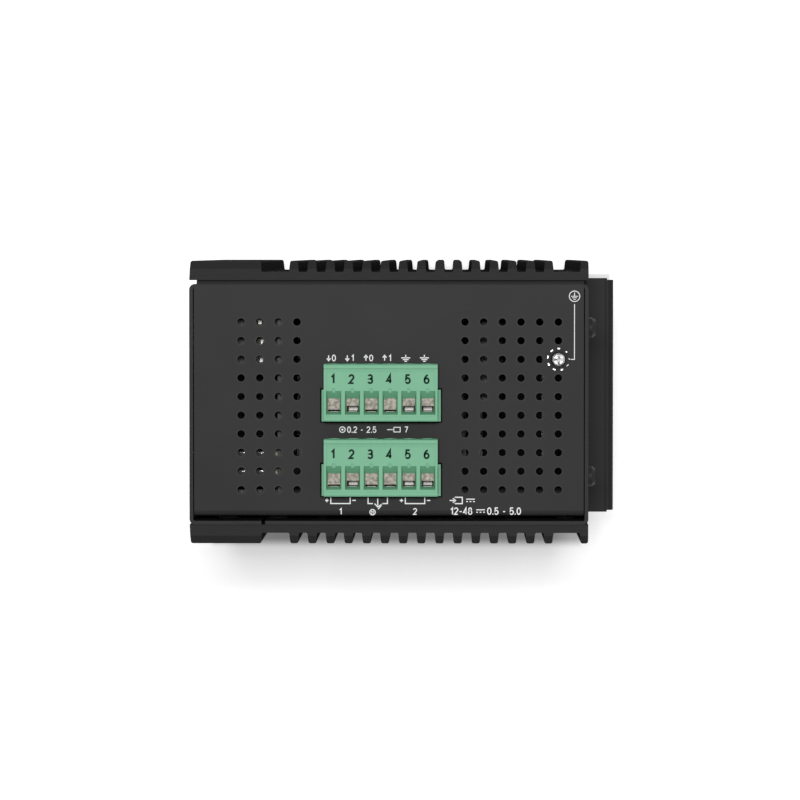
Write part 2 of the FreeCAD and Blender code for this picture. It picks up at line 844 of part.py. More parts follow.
def bracket_screws():
    """Screws of the rail bracket."""
    length = bracket_sheet + sheet + nut_height
    return group([pan_screw(x, web_y, z, length) for x, z in bracket_screw_places()])


def earth_screw():
    """Low domed screw with a cross recess, on its toothed washer."""
    base = body_height + washer_thick
    r = earth_head_radius
    crown = (r * earth_head_crown, earth_head_height, earth_head_round)
    head = [(0, 0), (r, 0, washer_thick / 2), crown, (0, earth_head_height)]
    face = outline(head, lambda u, v: Vector(earth_x + u, earth_y, base + v))
    body = face.revolve(Vector(earth_x, earth_y, base), Vector(0, 0, 1), 360)
    length = washer_thick + sheet + nut_height
    body = body.fuse(rod((earth_x, earth_y, base), (0, 0, -1), screw_radius, length))
    return body.cut(cross_recess((earth_x, earth_y, base + earth_head_height), "z"))


def star_washer():
    """Washer with outer teeth."""
    points = []
    pitch = 2 * math.pi / washer_teeth
    radii = (washer_root, washer_radius, washer_radius, washer_root)
    for i in range(washer_teeth):
        for share, radius in zip((0.0, *washer_tooth), radii):
            angle = (i + share) * pitch
            points.append((earth_x + radius * math.cos(angle), earth_y + radius * math.sin(angle)))
    disc = along_z(points, body_height, body_height + washer_thick)
    bore = rod((earth_x, earth_y, body_height - 1), (0, 0, 1), screw_radius + slip, washer_thick + 2)
    return disc.cut(bore)


# ---------------------------------------------------------------- boards
def port_standoff_places():
    """Standoffs between the front plate and the port board."""
    x_left = port_columns[0] - jack_width / 2 - standoff_radius - standoff_jack_gap
    x_right = right_x - sheet - port_board_side - standoff_radius - standoff_case_gap
    inset = standoff_radius + standoff_edge
    lows = (port_board_bottom + inset, port_board_right_bottom + inset)
    return [(x, z) for x, low in zip((x_left, x_right), lows) for z in (low, port_board_top - inset)]


def side_standoff_places():
    """Standoffs between the case sides and the two side boards, as (y, z)."""
    levels = (main_board_bottom + standoff_low, main_board_top - standoff_high)
    front = port_board_y + board + link_depth + board_screw_head + board_running_gap
    return [(y, z) for y in (front, power_board_rear - standoff_rear) for z in levels]


def terminal_standoff_places():
    """Standoffs that hang the terminal board from the cover's top."""
    inset = standoff_radius + terminal_standoff_edge
    return [(x, y) for x in (terminal_board_left + inset, terminal_board_right - inset)
            for y in (terminal_board_front + inset, terminal_board_rear - inset)]


def drilled(plate, places, direction):
    """Screw holes through a board."""
    reach = board + 2
    start = [(x - direction[0], y - direction[1], z - direction[2]) for x, y, z in places]
    return plate.cut([rod(p, direction, standoff_bore, reach) for p in start])


def port_board():
    """Board behind the front plate that carries the jacks, indicators and reset switch."""
    edge = sheet + port_board_side
    y0 = port_board_y
    plate = box(left_x + edge, right_x - edge, y0, y0 + board, port_board_bottom, port_board_top)
    if port_board_right_bottom > port_board_bottom:
        x0 = main_board_x - cage_height - board_running_gap
        z0 = port_board_bottom - 1
        plate = plate.cut(box(x0, right_x, y0 - 1, y0 + board + 1, z0, port_board_right_bottom))
    places = [(x, y0, z) for x, z in port_standoff_places()]
    return drilled(plate, places, (0, 1, 0))


def main_board():
    """L-shaped board on the right side: switch chip above, module cages below."""
    front_low = front_y + sheet + board_running_gap
    front_high = port_board_y + board + board_screw_room
    step = main_board_step
    profile = [
        (front_low, main_board_bottom),
        (main_board_rear, main_board_bottom),
        (main_board_rear, main_board_top),
        (front_high, main_board_top),
        (front_high, step),
        (front_low, step),
    ]
    plate = along_x(profile, main_board_x, main_board_x + board)
    places = [(main_board_x, y, z) for y, z in side_standoff_places()]
    return drilled(plate, places, (1, 0, 0))


def power_board():
    """Board on the left side with the supply parts."""
    front = port_board_y + board + board_screw_room
    x1 = power_board_x + board
    plate = box(power_board_x, x1, front, power_board_rear, main_board_bottom, main_board_top)
    places = [(power_board_x, y, z) for y, z in side_standoff_places()]
    return drilled(plate, places, (1, 0, 0))


def terminal_board():
    """Small board under the cover's top that carries the two sockets."""
    z1 = terminal_board_z
    plate = box(terminal_board_left, terminal_board_right,
                terminal_board_front, terminal_board_rear, z1 - board, z1)
    places = [(x, y, z1 - board) for x, y in terminal_standoff_places()]
    bores = []
    h = pin_side / 2 + slip
    for x in terminal_x:
        for y in pole_y:
            bores.append(box(x - h, x + h, y - h, y + h, z1 - board - 1, z1 + 1))
    return drilled(plate, places, (0, 0, 1)).cut(bores)


def standoff(start, direction, length):
    """Six-sided threaded spacer."""
    return hex_bar(start, direction, standoff_radius, length).cut(
        rod(start, direction, board_screw_radius + slip, length))


def board_standoffs():
    """All spacers between the sheets and the boards."""
    solids = []
    length = front_to_port_board - sheet
    for x, z in port_standoff_places():
        solids.append(standoff((x, front_y + sheet, z), (0, 1, 0), length))
    for y, z in side_standoff_places():
        solids.append(standoff((right_x - sheet, y, z), (-1, 0, 0), side_board_offset))
        solids.append(standoff((left_x + sheet, y, z), (1, 0, 0), side_board_offset))
    for x, y in terminal_standoff_places():
        solids.append(standoff((x, y, body_height - sheet), (0, 0, -1), socket_board_drop - sheet))
    return group(solids)


def board_screw(seat, direction):
    """Small cylinder head screw, its head standing off the board against direction."""
    d = Vector(*direction)
    head_start = Vector(*seat) - d * board_screw_head_height
    head = rod(tuple(head_start), direction, board_screw_head, board_screw_head_height)
    return head.fuse(rod(seat, direction, board_screw_radius, board + board_screw_reach))


def board_screws():
    """Screws that hold the boards on their spacers."""
    solids = []
    for x, z in port_standoff_places():
        solids.append(board_screw((x, port_board_y + board, z), (0, -1, 0)))
    for y, z in side_standoff_places():
        solids.append(board_screw((main_board_x, y, z), (1, 0, 0)))
        solids.append(board_screw((power_board_x + board, y, z), (-1, 0, 0)))
    for x, y in terminal_standoff_places():
        solids.append(board_screw((x, y, terminal_board_z - board), (0, 0, 1)))
    return group(solids)


# ---------------------------------------------------------------- ports
def jack_places():
    """Middle of every jack: the console first, then the ports row by row from the top."""
    return [(port_columns[0], console_z)] + [(x, z) for z in port_z for x in port_columns]


def jack_mouth(x, z, extra):
    """Outline of a plug mouth with its latch slot, grown by extra."""
    m = jack_mouth_width / 2 + extra
    top = z + jack_mouth_height / 2 + extra
    low = z - jack_mouth_height / 2 - extra
    latch = jack_latch_width / 2 + extra
    key = jack_key_width / 2 + extra
    step = low - jack_latch_height
    foot = step - jack_key_height
    return [
        (x - m, top), (x + m, top), (x + m, low), (x + latch, low), (x + latch, step), (x + key, step),
        (x + key, foot), (x - key, foot), (x - key, step), (x - latch, step), (x - latch, low), (x - m, low),
    ]


def jack(x, z):
    """Folded shield of a jack: four walls and a face with the plug mouth and two lamp windows."""
    y0 = front_y + recess
    half_w = jack_width / 2
    half_h = jack_height / 2
    wall = shield_wall
    shell = box(x - half_w, x + half_w, y0, port_board_y, z - half_h, z + half_h)
    in_w = half_w - wall
    in_h = half_h - wall
    cuts = [box(x - in_w, x + in_w, y0 + wall, port_board_y + 1, z - in_h, z + in_h)]
    cuts.append(along_y(jack_mouth(x, z, slip), y0 - 1, y0 + wall + 1))
    z1 = z + half_h - lamp_window_from_top
    for side in (-1, 1):
        inner = half_w - lamp_window_from_side - lamp_window_width
        u = sorted((side * inner, side * (inner + lamp_window_width)))
        cuts.append(box(x + u[0], x + u[1], y0 - 1, y0 + wall + 1, z1 - lamp_window_height, z1))
    return shell.cut(cuts)


def jack_insert(x, z):
    """Moulded insert inside a shield, with the blind plug mouth."""
    y0 = front_y + recess + shield_wall + slip
    half_w = jack_width / 2 - shield_wall - slip
    half_h = jack_height / 2 - shield_wall - slip
    body = box(x - half_w, x + half_w, y0, port_board_y, z - half_h, z + half_h)
    return body.cut(along_y(jack_mouth(x, z, 0), y0 - 1, y0 + jack_mouth_depth))


def module_cage(z):
    """Sheet metal cage for a pluggable fibre module, open at the front."""
    x1 = main_board_x
    x0 = x1 - cage_height
    y0 = front_y + recess
    y1 = y0 + cage_length
    half = cage_width / 2
    shell = box(x0, x1, y0, y1, z - half, z + half)
    in_h = half - cage_wall
    inside = box(x0 + cage_wall, x1 - cage_wall, y0 - 1, y1 - cage_wall, z - in_h, z + in_h)
    y_latch = y0 + cage_latch_depth
    side = cage_latch_side / 2
    cuts = [inside, box(x0 - 1, x0 + cage_wall + 1, y_latch - side, y_latch + side, z - side, z + side)]
    first_y = y_latch + 2 * cage_vent_pitch
    for i in range(cage_vent_count):
        for row in (-1, 1):
            place = (x0 - 1, first_y + i * cage_vent_pitch, z + row * cage_vent_pitch)
            cuts.append(rod(place, (1, 0, 0), cage_vent_radius, cage_wall + 2))
    return shell.cut(cuts)


def module_socket(z):
    """Edge socket at the back of a module cage."""
    y1 = front_y + recess + cage_length - cage_wall
    y0 = y1 - socket_length
    x1 = main_board_x - cage_wall
    x0 = x1 - socket_height
    half = socket_width / 2
    body = box(x0, x1, y0, y1, z - half, z + half)
    slot_mid = (x0 + x1) / 2
    reach = half - socket_slot_end
    slot = box(slot_mid - socket_slot / 2, slot_mid + socket_slot / 2,
               y0 - 1, y0 + socket_slot_depth, z - reach, z + reach)
    return body.cut(slot)


# ---------------------------------------------------------------- indicators and reset button
def holder_span():
    """Sideways and upright reach of the indicator holder."""
    return (pipe_columns[0] - holder_margin, pipe_columns[1] + holder_margin,
            reset_z - holder_margin, pipe_rows[0] + holder_margin)


def pipe_holder():
    """Black holder that carries the light pipes and guides the reset stem."""
    x0, x1, z0, z1 = holder_span()
    y0 = front_y + holder_from_front
    y1 = y0 + holder_thick
    block = box(x0, x1, y0, y1, z0, z1)
    legs = [box(x, x + holder_leg, y1, port_board_y, z0, z0 + holder_leg) for x in (x0, x1 - holder_leg)]
    half = holder_leg / 2
    legs.append(box(reset_x - half, reset_x + half, y1, port_board_y, z1 - holder_leg, z1))
    bores = [rod((x, y0 - 1, z), (0, 1, 0), pipe_radius + slip, holder_thick + 2)
             for x in pipe_columns for z in pipe_rows]
    bores.append(rod((reset_x, y0 - 1, reset_z), (0, 1, 0), reset_radius + plunger_gap, holder_thick + 2))
    return union([block] + legs).cut(bores)


def light_pipes():
    """Clear rods from the lamps on the board to the front face."""
    y0 = front_y
    y1 = port_board_y - led_height - led_gap
    places = [(x, z) for x in pipe_columns for z in pipe_rows]
    return group([rod((x, y0, z), (0, 1, 0), pipe_radius, y1 - y0) for x, z in places])


def indicator_lamps():
    """Small surface lamps behind the light pipes."""
    h = led_side / 2
    y1 = port_board_y
    places = [(x, z) for x in pipe_columns for z in pipe_rows]
    return group([box(x - h, x + h, y1 - led_height, y1, z - h, z + h) for x, z in places])


def reset_button():
    """Stepped reset stem that ends on the switch plunger."""
    y0 = front_y + reset_recess
    y1 = port_board_y - switch_height - plunger_height / 2
    stem = rod((reset_x, y0, reset_z), (0, 1, 0), reset_radius, y1 - y0)
    y_flange = front_y + holder_from_front + holder_thick + reset_travel
    flange_radius = reset_radius + reset_flange
    flange = rod((reset_x, y_flange, reset_z), (0, 1, 0), flange_radius, reset_flange_thick)
    return stem.fuse(flange)


def reset_plunger():
    """The switch's own plunger, partly inside its base."""
    y1 = port_board_y - switch_height + plunger_height / 2
    y0 = y1 - plunger_height
    return rod((reset_x, y0, reset_z), (0, 1, 0), plunger_radius, plunger_height)


def reset_switch():
    """Square switch base with a bore for the plunger's travel."""
    h = switch_side / 2
    y1 = port_board_y
    base = box(reset_x - h, reset_x + h, y1 - switch_height, y1, reset_z - h, reset_z + h)
    depth = plunger_height / 2 + reset_travel + plunger_spare
    start = (reset_x, y1 - switch_height - 1, reset_z)
    bore = rod(start, (0, 1, 0), plunger_radius + plunger_gap, depth + 1)
    return base.cut(bore)


# ---------------------------------------------------------------- terminals
def terminal_header(x):
    """Socket shell on the terminal board, open at the top, with a keyed long wall."""
    half_l = header_length / 2
    half_w = header_width / 2
    shell = box(x - half_w, x + half_w, terminal_y - half_l, terminal_y + half_l,
                terminal_board_z, header_top_z)
    in_l = plug_length / 2 + plug_play
    in_w = half_w - header_wall
    over = header_top_z + 1
    inside = box(x - in_w, x + in_w, terminal_y - in_l, terminal_y + in_l, header_floor_z, over)
    cuts = [inside]
    reach = pin_side / 2
    for y in pole_y:
        cuts.append(box(x - reach, x + reach, y - reach, y + reach, terminal_board_z - 1, header_floor_z + 1))
    key = header_key / 2
    for y in pole_y[::2]:
        cuts.append(box(x + in_w - slip, x + in_w + header_wall / 2, y - key, y + key, header_floor_z, over))
    return shell.cut(cuts)


def header_pins(x):
    """Square pins from under the terminal board up into the plug."""
    reach = pin_side / 2
    low = terminal_board_z - board - pin_tail
    high = body_height - pin_top_gap
    return [box(x - reach, x + reach, y - reach, y + reach, low, high) for y in pole_y]


def plug_profile(x):
    """Side outline of the plug: block above the cover, tongue down into the socket."""
    far = x - plug_overhang
    near = far + plug_width
    tongue = header_width / 2 - header_wall - plug_play
    return [
        (far, plug_shoulder_z, plug_far_round),
        (far, plug_face_z, plug_edge),
        (near, plug_face_z, plug_edge),
        (near, plug_shoulder_z, plug_near_round),
        (x + tongue, plug_shoulder_z),
        (x + tongue, plug_bottom_z + tongue_chamfer),
        (x + tongue - tongue_chamfer, plug_bottom_z),
        (x - tongue + tongue_chamfer, plug_bottom_z),
        (x - tongue, plug_bottom_z + tongue_chamfer),
        (x - tongue, plug_shoulder_z),
    ]


def funnel(x0, x1, y, width):
    """Wire entry: a rectangular funnel whose long far slope guides the wire into the clamp."""
    half = width / 2
    u0 = x0 + funnel_far_slope
    u1 = x1 - funnel_near_slope
    throat = clamp_pocket_y / 2 - clamp_wall - clamp_play
    top = [(x0, y - half), (x1, y - half), (x1, y + half), (x0, y + half)]
    low = [(u0, y - throat), (u1, y - throat), (u1, y + throat), (u0, y + throat)]
    low_z = plug_face_z - funnel_depth - funnel_run_in
    wires = []
    for points, z in ((low, low_z), (top, plug_face_z)):
        ring = [Vector(u, v, z) for u, v in points]
        wires.append(Part.makePolygon(ring + ring[:1]))
    return Part.makeLoft(wires, True, True)


def clamp_box(x):
    """Sideways span and levels of the clamp pocket below each funnel."""
    far = x - plug_overhang
    mid = far + funnel_from_edge + funnel_top / 2
    half = clamp_pocket_x / 2
    return mid - half, mid + half, plug_shoulder_z + clamp_floor, plug_face_z - funnel_depth


def terminal_plug(x):
    """Green plug housing: wire funnels, clamp pockets, screw bores and contact slots."""
    half = plug_length / 2
    body = along_y(plug_profile(x), terminal_y - half, terminal_y + half)
    far = x - plug_overhang
    x0 = far + funnel_from_edge
    x1 = x0 + funnel_top
    p0, p1, z0, z1 = clamp_box(x)
    screw_z = plug_face_z - clamp_screw_drop
    tongue_top = z0 + contact_slot_over
    slot = contact_slot_width / 2
    cuts = []
    notch = funnel_notch / 2
    for y in pole_y:
        cuts.append(funnel(x0, x1, y, funnel_wide))
        cuts.append(box(x0 - notch, x0 + 1, y - notch, y + notch, plug_face_z - 2 * notch, plug_face_z + 1))
        cuts.append(box(p0, p1, y - clamp_pocket_y / 2, y + clamp_pocket_y / 2, z0, z1))
        cuts.append(rod((far - 1, y, screw_z), (1, 0, 0), clamp_bore_radius, p0 - far + 1.5))
        cuts.append(box(x - contact_slot_far, x + contact_slot_near, y - slot, y + slot,
                        plug_bottom_z - 1, tongue_top))
    gx = far + groove_from_edge
    cuts.append(box(gx, gx + groove_width, terminal_y - half - 1, terminal_y + half + 1,
                    plug_face_z - groove_depth, plug_face_z + 1))
    near = far + plug_width - plug_rim_side
    reach = half - plug_rim_end
    cuts.append(box(gx + 2 * groove_width, near, terminal_y - reach, terminal_y + reach,
                    plug_face_z - plug_panel_depth, plug_face_z + 1))
    return body.cut(cuts).removeSplitter()


def current_bar(x):
    """Sideways span of the current bar inside the clamp's outer wall."""
    bar_x1 = clamp_box(x)[1] - clamp_play - clamp_wall - slip
    return bar_x1 - bar_thick, bar_x1


def clamp_cages(x):
    """Box clamps: a threaded block that closes on the wire, and a loop round the current bar."""
    p0, p1, z0, z1 = clamp_box(x)
    g = clamp_play
    screw_z = plug_face_z - clamp_screw_drop
    half = clamp_pocket_y / 2 - g
    reach = half - clamp_wall
    solids = []
    for i, y in enumerate(pole_y):
        block_x = current_bar(x)[0] - (clamp_opened if i in open_poles else clamp_closed)
        outer = box(p0 + g, p1 - g, y - half, y + half, z0 + g, z1 - g)
        inner = box(block_x, p1 - g - clamp_wall, y - reach, y + reach, z0, z1 + 1)
        bore = rod((p0 - 1, y, screw_z), (1, 0, 0), clamp_screw_radius + slip, clamp_thread + 1 + slip)
        solids.append(outer.cut([inner, bore]))
    return group(solids)


def clamp_screws(x):
    """Slotted screws, reached from the plug's side, one to a pole."""
    far = x - plug_overhang
    p0 = clamp_box(x)[0]
    z = plug_face_z - clamp_screw_drop
    start = far + clamp_head_recess
    solids = []
    for y in pole_y:
        head = rod((start, y, z), (1, 0, 0), clamp_head_radius, clamp_head_height)
        shank = rod((start, y, z), (1, 0, 0), clamp_screw_radius, p0 - start + clamp_thread)
        slot = box(start - 1, start + clamp_slot_depth, y - clamp_head_radius, y + clamp_head_radius,
                   z - clamp_slot / 2, z + clamp_slot / 2)
        solids.append(head.fuse(shank).cut(slot))
    return group(solids)


def plug_contacts(x):
    """Sprung contact of each pole: current bar in the clamp, two leaves on the pin."""
    bar_x0, bar_x1 = current_bar(x)
    bar_top = clamp_box(x)[3] - funnel_run_in
    reach = pin_side / 2 + slip
    low = plug_bottom_z + contact_end_gap
    head_z = body_height - pin_top_gap + contact_top_gap
    half = bar_width / 2
    leaf = contact_leaf_width / 2
    solids = []
    for y in pole_y:
        bar = box(bar_x0, bar_x1, y - half, y + half, head_z, bar_top)
        bridge = box(x - reach - contact_leaf, bar_x1, y - half, y + half, head_z, head_z + contact_leaf)
        leaf_near = box(x + reach, x + reach + contact_leaf, y - leaf, y + leaf, low, head_z)
        leaf_far = box(x - reach - contact_leaf, x - reach, y - leaf, y + leaf, low, head_z)
        solids.append(union([bar, bridge, leaf_near, leaf_far]))
    return group(solids)


# ---------------------------------------------------------------- rail bracket and latch
def din_bracket():
    """Folded bracket: web on the rear plate, top flange and the fixed hook lip."""
    half = bracket_width / 2
    z1 = bracket_top
    z_in = z1 - bracket_sheet
    profile = [
        (rear_y, bracket_bottom),
        (rear_y, z1, bracket_bend),
        (back_y, z1, bracket_bend),
        (back_y, z1 - hook_depth, hook_round),
        (lip_y, z1 - hook_depth, hook_round),
        (lip_y, z_in, hook_round),
        (web_y, z_in, hook_round),
        (web_y, bracket_bottom),
    ]
    plate = along_x(profile, -half, half)
    relief = hook_side_relief
    cuts = []
    for x0 in (-half - 1, half - relief):
        cuts.append(box(x0, x0 + relief + 1, lip_y - relief, back_y + 1, z1 - hook_depth - 1, z1 + 1))
    bore = screw_radius + screw_clearance
    for x, z in bracket_screw_places():
        cuts.append(rod((x, rear_y - 1, z), (0, 1, 0), bore, bracket_sheet + 2))
    for x, z in rivet_places():
        cuts.append(rod((x, rear_y - 1, z), (0, 1, 0), rivet_radius + slip, bracket_sheet + 2))
    stop = box(-stop_width / 2, stop_width / 2, web_y - stop_root, seat_y - guide_sheet - latch_play,
               stop_z, spring_seat_z)
    return plate.fuse(stop).cut(cuts).removeSplitter()


def guide_z():
    """Lower and upper end of the latch guide."""
    return rail_bottom - guide_below, rail_top + guide_above


def rivet_places():
    """Rivets through the guide's feet."""
    z0, z1 = guide_z()
    x = latch_width / 2 + latch_play + guide_sheet + guide_foot / 2
    return [(sx * x, z) for sx in (-1, 1) for z in (z0 + rivet_row_from_end, z1 - rivet_row_from_end)]


def latch_guide():
    """Hat-shaped guide: its crown is the seat for the rail, its hollow holds the latch."""
    z0, z1 = guide_z()
    inner = latch_width / 2 + latch_play
    outer = inner + guide_sheet
    foot = outer + guide_foot
    ceiling = seat_y - guide_sheet
    brim = web_y + guide_sheet
    profile = [
        (-foot, web_y), (-inner, web_y), (-inner, ceiling, hook_round), (inner, ceiling, hook_round),
        (inner, web_y), (foot, web_y), (foot, brim), (outer, brim, guide_foot_round),
        (outer, seat_y, guide_crown_round), (-outer, seat_y, guide_crown_round),
        (-outer, brim, guide_foot_round), (-foot, brim),
    ]
    hat = along_z(profile, z0, z1)
    bore = rivet_radius + slip
    bores = [rod((x, web_y - 1, z), (0, 1, 0), bore, guide_sheet + 2) for x, z in rivet_places()]
    return hat.cut(bores)


def guide_rivets():
    """Rivets of the latch guide, flush on the case side."""
    solids = []
    for x, z in rivet_places():
        length = bracket_sheet + guide_sheet - 2 * slip
        shank = rod((x, rear_y + 2 * slip, z), (0, 1, 0), rivet_radius, length)
        head = rod((x, web_y + guide_sheet, z), (0, 1, 0), rivet_head_radius, rivet_head_height)
        solids.append(shank.fuse(head))
    return group(solids)


def din_latch():
    """Sliding latch: hook for the rail's lower edge, spring window and a slotted pull tab."""
    half = latch_width / 2
    y0 = latch_y
    y1 = latch_y + latch_thick
    top = spring_seat_z + spring_length + latch_head
    low = bracket_bottom - latch_tail
    plate = along_y([
        (-half, low, latch_corner), (half, low, latch_corner),
        (half, top, latch_top_corner), (-half, top, latch_top_corner)], y0, y1)
    leg_top = rail_bottom - latch_hook_gap
    leg_low = leg_top - latch_hook_leg
    tip = rail_bottom + latch_hook_cover
    ramp_y, ramp_z = latch_hook_ramp
    hook = [
        (y1 - latch_hook_root, leg_low),
        (back_y - ramp_y, leg_low),
        (back_y, leg_low + ramp_z),
        (back_y, tip, hook_round),
        (lip_y, tip, hook_round),
        (lip_y, leg_top, latch_hook_round),
        (y1 - latch_hook_root, leg_top),
    ]
    body = plate.fuse(along_x(hook, -half, half))
    reach = stop_width / 2 + latch_window_play
    window = box(-reach, reach, y0 - 1, y1 + 1, stop_z - stop_play, spring_seat_z + spring_length)
    u = latch_slot_width / 2
    v0 = low + latch_slot_low
    v1 = v0 + latch_slot_height
    corners = [(-u, v0), (u, v0), (u, v1), (-u, v1)]
    slot = along_y([(*corner, latch_slot_corner) for corner in corners], y0 - 1, y1 + 1)
    return body.cut([window, slot]).removeSplitter()


def latch_spring():
    """Compression spring between the bracket's stop and the top of the latch window."""
    height = spring_length - 2 * slip - spring_wire
    pitch = height / spring_turns
    coil_radius = spring_radius - spring_wire / 2
    helix = Part.makeHelix(pitch, height, coil_radius)
    start = Vector(coil_radius, 0, 0)
    tangent = Vector(0, 2 * math.pi * coil_radius, pitch)
    section = Part.Wire([Part.Circle(start, tangent, spring_wire / 2).toShape()])
    coil = Part.Wire(helix.Edges).makePipeShell([section], True, True)
    middle_y = latch_y + latch_thick / 2
    coil.translate(Vector(0, middle_y, spring_seat_z + slip + spring_wire / 2))
    return coil


# ---------------------------------------------------------------- inner parts
def switch_chip():
    """Main chip on the board's outer side."""
    x0 = main_board_x + board
    h = chip_side / 2
    return box(x0, x0 + chip_height, chip_y - h, chip_y + h, chip_z - h, chip_z + h)


def thermal_pads():
    """Soft pads: one on the chip, one strip between the transistors and the case side."""
    x0 = main_board_x + board + chip_height
    h = chip_side / 2
    chip_pad = box(x0, x0 + pad_thick, chip_y - h, chip_y + h, chip_z - h, chip_z + h)
    side_x = left_x + sheet
    half = power_device_width / 2 + 1
    z0, z1 = power_device_span()
    strip = box(side_x, side_x + pad_thick, power_y - half, power_y + half, z0, z1)
    return group([chip_pad, strip])


def heat_block():
    """Aluminium block from the pad to the case side behind the finned panel."""
    x0 = main_board_x + board + chip_height + pad_thick
    h = chip_side / 2 + heat_block_over
    corners = [(chip_y - h, chip_z - h), (chip_y + h, chip_z - h),
               (chip_y + h, chip_z + h), (chip_y - h, chip_z + h)]
    return along_x([(*corner, heat_block_corner) for corner in corners], x0, right_x - sheet)


def capacitor_places():
    """Supply capacitors: one behind the terminal board, the others below it."""
    y = terminal_board_rear + capacitor_radius + board_running_gap
    return [(y, capacitor_z - i * capacitor_pitch) for i in range(capacitor_count)]


def capacitors():
    """Electrolytic cans lying across from the power board, with a rolled groove."""
    cans = []
    x0 = power_board_x + board
    for y, z in capacitor_places():
        r = capacitor_radius
        start = capacitor_groove_from_end
        profile = [
            (0, 0), (r, 0), (r, start), (r - capacitor_groove_depth, start + capacitor_groove_width / 2),
            (r, start + capacitor_groove_width), (r, capacitor_length - capacitor_end),
            (r - capacitor_end, capacitor_length), (0, capacitor_length),
        ]
        face = outline(profile, lambda u, v: Vector(x0 + v, y + u, z))
        cans.append(face.revolve(Vector(x0, y, z), Vector(1, 0, 0), 360))
    return group(cans)


def transformer():
    """Supply transformer: ferrite halves round a taped winding."""
    x0 = power_board_x + board
    y = power_y
    z = transformer_z
    h = transformer_side / 2
    front, notch = transformer_notch
    core = box(x0 + transformer_bobbin, x0 + transformer_depth, y - h, y + h, z - h, z + h)
    for y_cut in (y - h - 1, y + h - notch):
        core = core.cut(box(x0 - 1, x0 + transformer_depth - front, y_cut, y_cut + notch + 1,
                            z - h - 1, z + h + 1))
    over = h + transformer_over
    bobbin = box(x0, x0 + transformer_bobbin, y - h, y + h, z - over, z + over)
    return union([core, bobbin])


def choke():
    """Ring choke of the input filter, standing on the power board."""
    x0 = power_board_x + board
    y = power_y
    z = choke_z
    c = choke_chamfer
    low = choke_hole
    high = choke_radius
    w = choke_width
    profile = [(0, low + c), (0, high - c), (c, high), (w - c, high),
               (w, high - c), (w, low + c), (w - c, low), (c, low)]
    face = outline(profile, lambda u, v: Vector(x0 + u, y + v, z))
    return face.revolve(Vector(x0, y, z), Vector(1, 0, 0), 360)


def power_device_span():
    """Lowest and highest level of the row of power transistors."""
    last = power_device_z + (power_device_count - 1) * power_device_pitch
    return power_device_z, last + power_device_height


def power_devices():
    """Power transistors on the board's outer side."""
    x0 = left_x + sheet + pad_thick
    half = power_device_width / 2
    solids = []
    for i in range(power_device_count):
        z = power_device_z + i * power_device_pitch
        solids.append(box(x0, power_board_x, power_y - half, power_y + half, z, z + power_device_height))
    return group(solids)


def board_links():
    """Right-angle connectors between the boards."""
    port_link_y = port_board_y + board
    port_link_z = (main_board_step + main_board_top - link_length) / 2
    port_link = box(main_board_x - link_depth, main_board_x, port_link_y, port_link_y + link_depth,
                    port_link_z, port_link_z + link_length)
    z1 = terminal_board_z - board
    z0 = main_board_top - link_height
    y0 = pole_y[-1] + pin_side
    y1 = terminal_board_rear - link_edge
    main_link = box(main_board_x - link_depth, main_board_x, y0, y1, z0, z1)
    x0 = power_board_x + board
    reach = link_length / 3
    power_link = box(x0, terminal_board_left + link_over, terminal_y - reach, terminal_y + reach, z0, z1)
    return group([port_link, main_link, power_link])


# ---------------------------------------------------------------- all nodes
def all_parts():
    """Every node's name and shape."""
    parts = {
        "front_panel": front_panel(),
        "chassis": chassis(),
        "cover": cover(),
        "heatsink_right": heatsink_right(),
        "heatsink_left": mirrored(heatsink_right()),
        "panel_screws": group(panel_screws() + panel_screws_left()),
        "clinch_nuts": clinch_nuts(),
        "case_screws": case_screws(),
        "earth_screw": earth_screw(),
        "star_washer": star_washer(),
        "port_board": port_board(),
        "main_board": main_board(),
        "power_board": power_board(),
        "terminal_board": terminal_board(),
        "board_standoffs": board_standoffs(),
        "board_screws": board_screws(),
        "console_jack": jack(port_columns[0], console_z),
        "jack_inserts": group([jack_insert(x, z) for x, z in jack_places()]),
        "pipe_holder": pipe_holder(),
        "light_pipes": light_pipes(),
        "indicator_lamps": indicator_lamps(),
        "reset_button": reset_button(),
        "reset_plunger": reset_plunger(),
        "reset_switch": reset_switch(),
        "din_bracket": din_bracket(),
        "bracket_screws": bracket_screws(),
        "latch_guide": latch_guide(),
        "guide_rivets": guide_rivets(),
        "din_latch": din_latch(),
        "latch_spring": latch_spring(),
        "switch_chip": switch_chip(),
        "thermal_pads": thermal_pads(),
        "heat_block": heat_block(),
        "capacitors": capacitors(),
        "transformer": transformer(),
        "choke": choke(),
        "power_devices": power_devices(),
        "board_links": board_links(),
        "module_sockets": group([module_socket(z) for z in cage_z]),
        "header_pins": group([pin for x in terminal_x for pin in header_pins(x)]),
    }
    for i, (x, z) in enumerate(jack_places()[1:]):
        parts["port_jack_%d" % (i + 1)] = jack(x, z)
    for i, z in enumerate(cage_z):
        parts["module_cage_%d" % (i + 1)] = module_cage(z)
    for i, x in enumerate(terminal_x):
        tag = "_%d" % (i + 1)
        parts["terminal_header" + tag] = terminal_header(x)
        parts["terminal_plug" + tag] = terminal_plug(x)
        parts["clamp_cages" + tag] = clamp_cages(x)
        parts["clamp_screws" + tag] = clamp_screws(x)
        parts["plug_contacts" + tag] = plug_contacts(x)
    return parts


def main():
    """Write one STEP file per node."""
    os.makedirs("parts", exist_ok=True)
    for name, shape in all_parts().items():
        shape.exportStep(os.path.join("parts", name + ".step"))
        state = "valid" if shape.isValid() else "NOT VALID"
        print("%-20s solids %3d volume %10.2f %s" % (name, len(shape.Solids), shape.Volume, state))


main()
